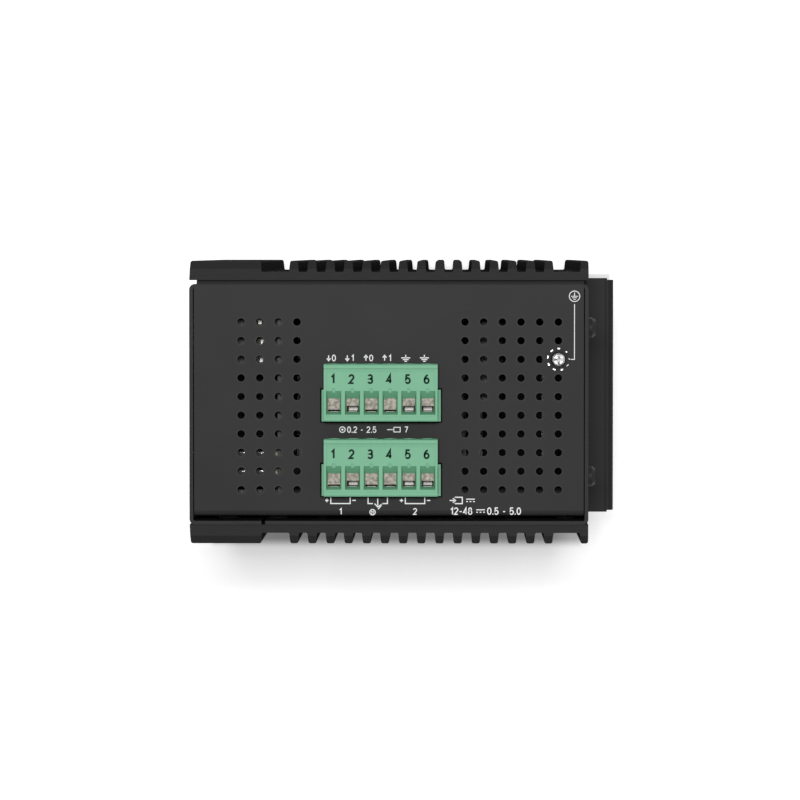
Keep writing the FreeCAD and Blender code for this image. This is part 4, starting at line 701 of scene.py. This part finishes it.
class Bench:
    """Collects prisms on a plane: origin, then the directions of u, of v, and outwards."""

    mitre_limit = 0.3

    def __init__(self, *plane):
        self.mesh = bmesh.new()
        if plane:
            self.place(*plane)

    def place(self, origin, u, v, out):
        """Where the next shapes go; those already made stay."""
        self.origin, self.u, self.v, self.out = map(Vector, (origin, u, v, out))

    def corners(self, outline, height):
        return [self.mesh.verts.new(self.origin + self.u * u + self.v * v + self.out * height)
                for u, v in outline]

    def join(self, lower, upper):
        """Side faces between two outlines of equal length."""
        for i in range(len(lower)):
            j = (i + 1) % len(lower)
            self.mesh.faces.new((lower[i], lower[j], upper[j], upper[i]))

    def loft(self, levels):
        """A closed solid through outlines of equal length, each at its height."""
        rings = [self.corners(outline, height) for height, outline in levels]
        for lower, upper in zip(rings, rings[1:]):
            self.join(lower, upper)
        self.mesh.faces.new(rings[0])
        self.mesh.faces.new(rings[-1])

    def prism(self, outline, low, high):
        """A closed flat shape with a thickness from low to high."""
        self.loft([(low, outline), (high, outline)])

    def ribbon(self, points, width, high, closed=False):
        """A line of even width along points, with mitred corners."""
        count = len(points)
        runs = count if closed else count - 1
        normals = []
        for i in range(runs):
            start, end = points[i], points[(i + 1) % count]
            along = Vector((end[0] - start[0], end[1] - start[1])).normalized()
            normals.append(Vector((-along.y, along.x)))
        rows = []
        for i, (u, v) in enumerate(points):
            before = normals[i - 1] if closed or i else normals[0]
            normal = (before + normals[min(i, runs - 1)]).normalized()
            reach = width / 2 / max(self.mitre_limit, normal.dot(before))
            sides = [(u + s * normal.x * reach, v + s * normal.y * reach) for s in (1, -1)]
            lower, upper = self.corners(sides, 0.0), self.corners(sides, high)
            rows.append((lower[0], upper[0], upper[1], lower[1]))
        for i in range(runs):
            self.join(rows[i], rows[(i + 1) % count])
        if not closed:
            self.mesh.faces.new(rows[0])
            self.mesh.faces.new(rows[-1])

    def figures(self, text, u, v, size, high, weight=0.17):
        """Plain stroke figures of that height, centred on (u, v)."""
        width = sum(glyphs[sign][0] for sign in text) - spacing
        left = u - width * size / 2
        for sign in text:
            advance, strokes = glyphs[sign]
            for closed, points in strokes:
                placed = [(left + p * size, v + (q - 0.5) * size) for p, q in points]
                self.ribbon(placed, weight * size, high, closed)
            left += advance * size

    def finish(self, name, finish, bevel=0.0):
        """Turns the bench's work into a piece that rides on the case."""
        bmesh.ops.remove_doubles(self.mesh, verts=self.mesh.verts, dist=1e-7)
        bmesh.ops.recalc_face_normals(self.mesh, faces=self.mesh.faces)
        if bevel:
            sharp = [edge for edge in self.mesh.edges
                     if len(edge.link_faces) == 2 and edge.calc_face_angle(0) > 0.8]
            bmesh.ops.bevel(self.mesh, geom=sharp, offset=bevel, segments=2, affect="EDGES",
                            clamp_overlap=True)
        data = bpy.data.meshes.new(name)
        self.mesh.to_mesh(data)
        self.mesh.free()
        data.materials.append(finishes[finish])
        piece = new_object(name, data)
        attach(piece, "case")
        print(name, len(data.polygons), "faces")
        return piece


top_plane = ((0, 1, 0), (-1, 0, 0), (0, 0, 1))
front_plane = ((1, 0, 0), (0, 0, 1), (0, -1, 0))
side_plane = ((0, 1, 0), (0, 0, 1), (1, 0, 0))
print("planes: top, front and side")

# %% [markdown]
# ## Print on the top end
# The top end carries white screen print. It is read with the long side level, so u runs
# to +Y and v to -X. Words are left out, and plain signs say what is needed: arrows and
# ground signs, brackets under pairs of poles, a change-over contact, wire sizes, the sign
# for direct current, and the earth sign with a line to its screw.

# %% Places of the print
cover_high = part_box("cover")[1]
plug_boxes = [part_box("terminal_plug_1"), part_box("terminal_plug_2")]
plug_middle_y = (plug_boxes[0][0].y + plug_boxes[0][1].y) / 2
pole_pitch = 5.0 * MM
poles = 6
pole_u = [plug_middle_y + (i - (poles - 1) / 2) * pole_pitch for i in range(poles)]
print_shift = -0.92 * MM
ink_height = 0.03 * MM
line = 0.29 * MM
text_size = 1.55 * MM
top = Bench((0, 0, cover_high.z), *top_plane)


def stroke(u, v, points, width=line, closed=False, high=ink_height):
    """A white line through points given in millimetres from (u, v)."""
    top.ribbon(moved(points, u, v), width, high, closed)


print("pole marks from", round(pole_u[0] / MM, 2), "to", round(pole_u[-1] / MM, 2))

# %% Signs above the first terminal
sign_v = -(plug_boxes[0][0].x - 1.45 * MM)
arrow_left = 0.65 * MM
figure_right = 0.75 * MM
arrow_half = 0.7
ground_bars = ((0.05, 1.2), (-0.42, 0.78), (-0.87, 0.34))
for i, u in enumerate(pole_u):
    centre = u + print_shift
    if i < 4:
        tip = -arrow_half if i < 2 else arrow_half
        arrow_u = centre - arrow_left
        stroke(arrow_u, sign_v, [(0, -tip), (0, tip * 0.75)])
        stroke(arrow_u, sign_v, [(-0.5, tip * 0.15), (0, tip * 1.05), (0.5, tip * 0.15)])
        top.figures(str(i % 2), centre + figure_right, sign_v, text_size, ink_height)
    else:
        stroke(centre, sign_v, [(0, 0.85), (0, 0.05)])
        for level, half in ground_bars:
            stroke(centre, sign_v, [(-half, level), (half, level)])
print("signs at v", round(sign_v / MM, 2))

# %% Brackets and signs under the second terminal
bracket_top = -(plug_boxes[1][1].x + 0.6 * MM)
drop = 1.7
half = 2.6
level = -drop / 2
sign_half = 0.45
far = half + 1.05
left_leg = [(-half, 0), (-half, -drop)]
right_leg = [(half, -drop), (half, 0)]
for first, label in ((0, "1"), (4, "2")):
    centre = (pole_u[first] + pole_u[first + 1]) / 2 + print_shift
    stroke(centre, bracket_top, left_leg + right_leg)
    stroke(centre, bracket_top, [(far - sign_half, level), (far + sign_half, level)])
    stroke(centre, bracket_top, [(-far - sign_half, level), (-far + sign_half, level)])
    stroke(centre, bracket_top, [(-far, level - sign_half), (-far, level + sign_half)],
           high=ink_height * 1.05)
    top.figures(label, centre, bracket_top - (drop + 2.1) * MM, text_size, ink_height)
print("brackets from v", round(bracket_top / MM, 2))

# %% Change-over contact and lamp sign under the middle poles
centre = (pole_u[2] + pole_u[3]) / 2 + print_shift
stroke(centre, bracket_top, left_leg + [(-1.3, -drop)])
stroke(centre, bracket_top, [(1.3, -drop)] + right_leg)
stroke(centre, bracket_top, [(0, -0.35), (0, -2.2)])
stroke(centre, bracket_top, [(-0.85, -1.75), (0, -2.6), (1.3, -drop)])
stroke(centre, bracket_top, [(0.1, -3.2), (1.3, -drop)])
lamp_u = centre - 1.4 * MM
lamp_v = bracket_top - (drop + 2.3) * MM
stroke(lamp_u, lamp_v, circle(0.72), line * 0.9, closed=True)
for slope in (-1, 1):
    stroke(lamp_u, lamp_v, [(-0.48, -0.48 * slope), (0.48, 0.48 * slope)], line * 0.8)
print("lamp sign at u", round(lamp_u / MM, 2))


# %% Ratings in figures
def direct_current(u, v, length=2.3):
    """The sign for direct current: a full bar over three short ones."""
    dash = length / 5
    stroke(u, v, [(-length / 2, 0.35), (length / 2, 0.35)], line * 0.9)
    for i in (-1, 0, 1):
        stroke(u, v, [(i * 2 * dash - dash / 2, -0.3), (i * 2 * dash + dash / 2, -0.3)], line * 0.9)


rating_u = plug_boxes[1][1].y + 3.2 * MM
rating_v = bracket_top - 0.85 * MM
second_v = rating_v - 2.85 * MM
rating_size = text_size * 1.1
stroke(rating_u, rating_v, [(0.0, 0.0), (1.5, 0.0)])
stroke(rating_u, rating_v, [(0.9, 0.6), (1.6, 0.0), (0.9, -0.6)])
stroke(rating_u, rating_v, [(1.4, 0.85), (3.4, 0.85), (3.4, -0.85), (1.4, -0.85)])
direct_current(rating_u + 5.6 * MM, rating_v)
top.figures("12-48", rating_u + 3.1 * MM, second_v, rating_size, ink_height)
direct_current(rating_u + 8.3 * MM, second_v)
top.figures("0.5 - 5.0", rating_u + 14.6 * MM, second_v, rating_size, ink_height)
print("ratings at u", round(rating_u / MM, 2))

# %% Wire size and stripping length between the terminals
between = -(plug_boxes[0][1].x + plug_boxes[1][0].x) / 2 - 0.1 * MM
wire_u = plug_middle_y - 10.4 * MM
strip_u = plug_middle_y + 3.1 * MM
wire_size = text_size * 0.95
fine = line * 0.8
stroke(wire_u, between, circle(0.75), fine, closed=True)
top.prism(moved(circle(0.28), wire_u, between), 0, ink_height)
top.figures("0.2 - 2.5", wire_u + 5.2 * MM, between, wire_size, ink_height)
stroke(strip_u, between, [(-1.5, 0.0), (0.3, 0.0)], fine)
stroke(strip_u, between, [(0.3, 0.62), (2.0, 0.62), (2.0, -0.62), (0.3, -0.62), (0.3, 0.7)], fine)
top.figures("7", strip_u + 3.6 * MM, between, wire_size, ink_height)
print("wire signs at v", round(between / MM, 2))

# %% Earth sign and its line
earth_u = earth_y + 4.3 * MM
earth_v = -earth_x + 16.9 * MM
line_from_sign = 2.1 * MM
line_to_screw = 3.3 * MM
stroke(earth_u, earth_v, circle(1.4, 36), 0.21 * MM, closed=True)
stroke(earth_u, earth_v, [(0, 1.0), (0, 0.1)], 0.22 * MM)
for i, half in enumerate((0.95, 0.62, 0.3)):
    stroke(earth_u, earth_v, [(-half, -i * 0.42), (half, -i * 0.42)], 0.18 * MM)
leader = [(earth_u, earth_v - line_from_sign), (earth_u, -earth_x),
          (earth_y + line_to_screw, -earth_x)]
top.ribbon(leader, 0.21 * MM, ink_height)
top.finish("top_print", "print_white")

# %% [markdown]
# ## Figures on the plugs
# Each pole of a plug has its number from 1 to 6, printed dark on the green in the shallow
# panel between the rim and the wire funnels. The pen is bolder than for the white print.

# %% Plug figures
panel_depth = 0.25 * MM
figure_size = 2.15 * MM
figure_from_edge = 3.95 * MM
figure_shift = -0.28 * MM
bold = 0.235
for tag, (low, high) in zip(("1", "2"), plug_boxes):
    plug = Bench((0, 0, high.z - panel_depth), *top_plane)
    figure_v = -(low.x + figure_from_edge)
    for i, u in enumerate(pole_u):
        plug.figures(str(i + 1), u + figure_shift, figure_v, figure_size, ink_height, bold)
    plug.finish("plug_figures_" + tag, "print_dark")

# %% [markdown]
# ## Screws of the side panels
# Six countersunk screws with a hexagon socket hold each side panel. The solids they
# stand for have plain heads. So each screw is lofted anew through a few outlines: the
# bottom and the mouth of the hexagon, the rim of the head, the cone and the shank. All
# outlines have the same number of points, so that the hexagon flows into the circle.

# %% Where the screws stand
def islands(node):
    """The lowest and highest corner of every separate solid in a node."""
    loose = bmesh.new()
    loose.from_mesh(node.data)
    bmesh.ops.remove_doubles(loose, verts=loose.verts, dist=1e-7)
    waiting = set(loose.verts)
    corners = []
    while waiting:
        solid = [waiting.pop()]
        for vertex in solid:
            for edge in vertex.link_edges:
                other = edge.other_vert(vertex)
                if other in waiting:
                    waiting.remove(other)
                    solid.append(other)
        corners.append([Vector([pick(vertex.co[i] for vertex in solid) for i in range(3)])
                        for pick in (min, max)])
    loose.free()
    return sorted(corners, key=lambda pair: tuple(round(value / MM, 2) for value in pair[0]))


screw_places = islands(nodes["panel_screws"])
print("panel screws", len(screw_places))

# %% Countersunk screws with a hexagon socket
outline_steps = len(circle(1.0))
shank = 1.45
socket_depth = 1.2
rim_height = 0.26


def hexagon_outline(across_flats):
    points = []
    for i in range(outline_steps):
        turn = 2 * math.pi * i / outline_steps
        from_flat = (turn + math.pi / 6) % (math.pi / 3) - math.pi / 6
        reach = across_flats / 2 / math.cos(from_flat)
        points.append((reach * math.cos(turn), reach * math.sin(turn)))
    return points


def countersunk_screw(u, v, head, length):
    """The head's radius and the length inward from the face, in millimetres."""
    levels = [(-socket_depth, hexagon_outline(1.95)), (-0.12, hexagon_outline(2.0)),
              (0.0, hexagon_outline(2.3)), (0.0, circle(head - 0.22)),
              (-0.1, circle(head - 0.04)), (-rim_height, circle(head)),
              (-rim_height - (head - shank), circle(shank)),
              (-length, circle(shank))]
    screws.loft([(height * MM, moved(outline, u, v)) for height, outline in levels])


screws = Bench()
for low, high in screw_places:
    side = 1 if low.x + high.x > 0 else -1
    face = max(abs(low.x), abs(high.x))
    screws.place((side * face, 0, 0), (0, 1, 0), (0, 0, 1), (side, 0, 0))
    centre = (low + high) / 2
    head = (high.y - low.y) / 2 / MM
    countersunk_screw(centre.y, centre.z, head, (high.x - low.x) / MM)
panel_screws = screws.finish("panel_screw_set", "black_screw")
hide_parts("panel_screws")

# %% [markdown]
# ## Contacts in the network jacks
# Eight gold-flashed wires spring down from the ceiling of each jack mouth at a pitch of
# 1.02 mm. Each runs back and down, bends at its tip, and is what the plug's blades touch.
# They are drawn once from the side as a ribbon and laid out eight times in each jack.

# %% Jack contacts
contact_pitch = 1.02 * MM
contact_width = 0.34 * MM
contact_thick = 0.2 * MM
contacts_per_jack = 8
ceiling_over_middle = 3.45 * MM
contact_side = moved([(2.2, -0.12), (3.2, -0.3), (9.6, -2.9), (10.8, -3.15), (12.2, -2.7),
                      (12.9, -2.0)])
jack_names = ["console_jack"] + ["port_jack_%d" % (i + 1) for i in range(8)]
jacks = [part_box(name) for name in jack_names]
contacts = Bench()
for low, high in jacks:
    centre = (low + high) / 2
    for i in range(contacts_per_jack):
        offset = (i - (contacts_per_jack - 1) / 2) * contact_pitch - contact_width / 2
        start = (centre.x + offset, low.y, centre.z + ceiling_over_middle)
        contacts.place(start, *side_plane)
        contacts.ribbon(contact_side, contact_thick, contact_width)
contacts.finish("jack_contacts", "contact_gold")

# %% [markdown]
# ## Lamp windows in the jacks
# Each jack has two windows above its mouth, green on the left and amber on the right. A
# window is the end of a moulded light guide, so it has eased edges and stands just behind
# the shield's face.

# %% Jack lamp windows
window_width = 3.3 * MM
window_height = 1.8 * MM
window_from_side = 3.0 * MM
window_from_top = 1.95 * MM
window_depths = (-0.56 * MM, -0.14 * MM)
for name, side, finish in (("left", -1, "lens_green"), ("right", 1, "lens_amber")):
    lenses = Bench((0, cad_low.y, 0), *front_plane)
    for low, high in jacks:
        u = (low.x + high.x) / 2 + side * ((high.x - low.x) / 2 - window_from_side)
        outline = rectangle(u, high.z - window_from_top, window_width, window_height)
        lenses.prism(outline, *window_depths)
    lenses.finish("jack_windows_" + name, finish, bevel=0.12 * MM)

# %% [markdown]
# ## Stamped tabs on the jack shields
# A shield is folded from thin sheet. Beside the mouth, a tab is punched on each side and
# pressed out a little, and below it the sheet's folded end shows as a narrow step.

# %% Shield tabs
tab_width = 0.9 * MM
tab_length = 4.6 * MM
tab_from_side = 1.05 * MM
tab_over_middle = 0.6 * MM
tab_heights = (-0.05 * MM, 0.13 * MM)
fold_heights = (-0.05 * MM, 0.08 * MM)
fold_from_bottom = 0.435 * MM
fold_width = 0.63 * MM
tabs = Bench()
for low, high in jacks:
    tabs.place((0, low.y, 0), *front_plane)
    centre = (low + high) / 2
    v = centre.z + tab_over_middle
    for side in (-1, 1):
        u = centre.x + side * ((high.x - low.x) / 2 - tab_from_side)
        outline = arc(u, v + tab_length / 2, tab_width / 2, tab_width / 2, 0, 180, 8)
        outline += [(u + s * tab_width / 2, v - tab_length / 2) for s in (-1, 1)]
        tabs.prism(outline, *tab_heights)
    fold = rectangle(centre.x, low.z + fold_from_bottom, 0.97 * (high.x - low.x), fold_width)
    tabs.prism(fold, *fold_heights)
tabs.finish("shield_tabs", "jack_shield", bevel=0.03 * MM)

# %% [markdown]
# ## Springs on the console jack
# The shield of the highest jack has stamped leaf springs on its roof, which touch the case
# when the boards slide in. They lie right under the vents and are what glints there.

# %% Roof springs
roof_low, roof_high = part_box("console_jack")
roof_side = moved([(0.0, 0.06), (0.5, 0.55), (1.4, 0.95), (2.2, 1.0), (2.9, 0.6), (3.2, 0.2)])
roof_thick = 0.15 * MM
roof_springs = Bench()
for offset, start, wide in ((1.35, -41.3, 1.5), (6.6, -40.6, 2.0), (11.5, -40.9, 1.6)):
    roof_springs.place((roof_low.x + offset * MM, start * MM, roof_high.z), *side_plane)
    roof_springs.ribbon(roof_side, roof_thick, wide * MM)
roof_springs.finish("roof_springs", "cage_steel")

# %% [markdown]
# ## The latch's spring
# The coil in the latch's window pushes the latch up against the rail. It stands on a stop of
# the bracket, and when the latch is pulled down, the window's edge shortens it. A rigid coil
# would cut through that edge. So a copy of the coil takes the solid's place on the case,
# with a mesh of its own.

# %% A copy of the coil
coil_low, coil_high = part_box("latch_spring")
coil_length = coil_high.z - coil_low.z
latch_joint = next(joint for joint in frame["joints"] if joint["name"] == "latch_slide")
latch_travel = latch_joint["range_m"][1]
coil = new_object("latch_coil", nodes["latch_spring"].data.copy())
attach(coil, "case")
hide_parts("latch_spring")
1 - latch_travel / coil_length
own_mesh(coil)
print("coil in mm", round(coil_length / MM, 2), "shortened by", round(latch_travel / MM, 2))

# %% [markdown]
# ## Ground springs in the module cages
# Inside the mouth of a module cage, a row of leaf springs presses on the module. Each is
# a strip that starts at the lip, bows inwards and lies back on the wall.

# %% Cage springs
spring_width = 1.3 * MM
spring_gap = 0.7 * MM
spring_thick = 0.12 * MM
spring_pitch = spring_width + spring_gap
spring_side = moved([(0.15, 0.08), (1.2, 0.3), (3.0, 0.62), (4.6, 0.55), (6.4, 0.2), (7.2, 0.08)])
wall = 0.4 * MM
free_corner = 0.8 * MM
springs = Bench()
for cage in ("module_cage_1", "module_cage_2"):
    low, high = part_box(cage)
    walls = [
        ((low.x + wall, low.y, 0), (1, 0, 0), (0, 0, 1), low.z, high.z),
        ((high.x - wall, low.y, 0), (-1, 0, 0), (0, 0, 1), low.z, high.z),
        ((0, low.y, low.z + wall), (0, 0, 1), (1, 0, 0), low.x, high.x),
        ((0, low.y, high.z - wall), (0, 0, -1), (1, 0, 0), low.x, high.x),
    ]
    for origin, inwards, across, start, end in walls:
        room = end - start - 2 * wall - 2 * free_corner
        count = int((room + spring_gap) // spring_pitch)
        used = count * spring_width + (count - 1) * spring_gap
        for i in range(count):
            at = (start + end - used) / 2 + i * spring_pitch
            springs.place(Vector(origin) + Vector(across) * at, (0, 1, 0), inwards, across)
            springs.ribbon(spring_side, spring_thick, spring_width)
springs.finish("cage_springs", "cage_steel")

# %% [markdown]
# ## Print on the front
# The front carries only plain figures: the number of each port beside its jack and of
# each module slot, and one to four beside the rows of indicators. The ink is thinner than
# on the top, because nothing may stand out from the front panel.

# %% Front print
front_ink = 0.01 * MM
port_figure = 1.9 * MM
lamp_figure = 1.6 * MM
left_of_jack = 1.9 * MM
right_of_jack = 1.7 * MM
right_of_slot = 2.2 * MM
front = Bench((0, cad_low.y, 0), *front_plane)
for i, (low, high) in enumerate(jacks[1:]):
    u = high.x + right_of_jack if i % 2 else low.x - left_of_jack
    front.figures(str(i + 1), u, (low.z + high.z) / 2, port_figure, front_ink)
for i in range(2):
    low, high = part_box("module_cage_%d" % (i + 1))
    level = (low.z + high.z) / 2
    front.figures(str(10 - i), high.x + right_of_slot, level, port_figure, front_ink)
for i in range(4):
    level = pipe_high.z - (pipe_radius + i * pipe_pitch["z"]) * MM
    front.figures(str(i + 1), pipe_high.x + right_of_slot, level, lamp_figure, front_ink)
front.finish("front_print", "print_white")

# %% [markdown]
# ## Floor, light and camera
# The switch stands on a plain pale floor. A long softbox hangs above it, a little to the
# side of the left panel, so that the shadow falls softly to the right. The rest of the
# light comes evenly from the white surroundings. The eye and every mirror-like surface
# see those surroundings as pure white, while they light the object less strongly. The
# floor, too, shows a little brighter than it is lit: not under the switch, then quickly
# up at the foot of the fins, down again where the shadow ends, and white far away.

# %% How far a place on the floor is from the switch
lamp_edge = cad_low.x / MM + 7.0
middle_y = (cad_low.y + cad_high.y) / 2 / MM
half_y = (cad_high.y - cad_low.y) / 2 / MM
bracket_low, bracket_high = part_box("din_bracket")
panel_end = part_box("heatsink_right")[1].y / MM
sharper = 4.0

ground = Finish("pale_floor", Base_Color=grey(0.9), Roughness=0.9, Specular_IOR_Level=0.0)
x = ground.axis("place", 0)
y = ground.axis("place", 1)
shadow_side = x - cad_high.x / MM
behind = y - panel_end
beside_bracket = [(bracket_low.x / MM - x).smaller(behind),
                  (x - bracket_high.x / MM).smaller(behind)]
away = shadow_side
for beyond in (lamp_edge - x, abs(y - middle_y) - half_y, *beside_bracket):
    away = away.larger(beyond * sharper)
print("floor from x", round(lamp_edge, 1), "and y", round(middle_y - half_y, 1))

# %% Floor
glow = 0.0
for distance, start, end, share in ((away, 9.0, 12.6, 0.42), (shadow_side, 14.0, 24.0, -0.1),
                                    (away, 26.0, 60.0, 0.1), (away, 500.0, 4000.0, 0.7)):
    glow = glow + share * ground.smooth(distance, start, end)
shine = {"Color": grey(1.0), "Strength": ground.seen() * glow}
glow = ground.node("ShaderNodeEmission", None, shine)
lit = Wire(ground, ground.shader.outputs[0])
both = ground.node("ShaderNodeAddShader", None, {0: lit, 1: glow})
ground.put(ground.tree.nodes["Material Output"].inputs["Surface"], both)

reach = 6.0
floor_mesh = bpy.data.meshes.new("floor")
corners = [(p, q, 0) for p, q in rectangle(0, 0, 2 * reach, 2 * reach)]
floor_mesh.from_pydata(corners, [], [(0, 1, 2, 3)])
floor_mesh.materials.append(ground.material)
floor = new_object("floor", floor_mesh)
print("floor of", 2 * reach, "m")

# %% White surroundings
ambient = 0.34
scene = bpy.context.scene
scene.world = bpy.data.worlds.new("white_surroundings")
scene.world.use_nodes = True
sky = Tree(scene.world.node_tree)
background = sky.tree.nodes["Background"]
shown = {"Value": sky.seen(), "To Min": ambient, "To Max": 1.0}
sky.put(background.inputs["Color"], grey(1.0))
sky.put(background.inputs["Strength"], sky.node("ShaderNodeMapRange", None, shown))
print("ambient light", ambient)

# %% Softbox
lamp = bpy.data.lights.new("softbox", "AREA")
lamp.shape = "RECTANGLE"
lamp.size = 0.38
lamp.size_y = 0.2
lamp.energy = 27.0
softbox = new_object("softbox", lamp)
softbox.location = (-0.24, 0.0, 2.1)
aim = Vector((0, 0, 0.1)) - softbox.location
softbox.rotation_euler = aim.to_track_quat("-Z", "Y").to_euler()
print("softbox", round(aim.length, 2), "m away")

# %% Camera
eye_height = 1.071
view = bpy.data.cameras.new("camera")
view.lens = 180.0
view.sensor_width = 36.0
camera = new_object("camera", view)
scene.camera = camera
eye = Vector((-40.2, 11.6, 0.0)) * MM + Vector((0, 0, cover_high.z + eye_height))
target = Vector((-0.7 * MM, -1.5 * MM, cover_high.z))
back = (eye - target).normalized()
right = Vector((-1, 0, 0)).cross(back).normalized()
turn = Matrix((right, back.cross(right), back)).transposed().to_4x4()
camera.matrix_world = Matrix.Translation(eye) @ turn
scene.view_settings.view_transform = "Standard"
print("eye", round((eye - target).length, 3), "m from the top end")
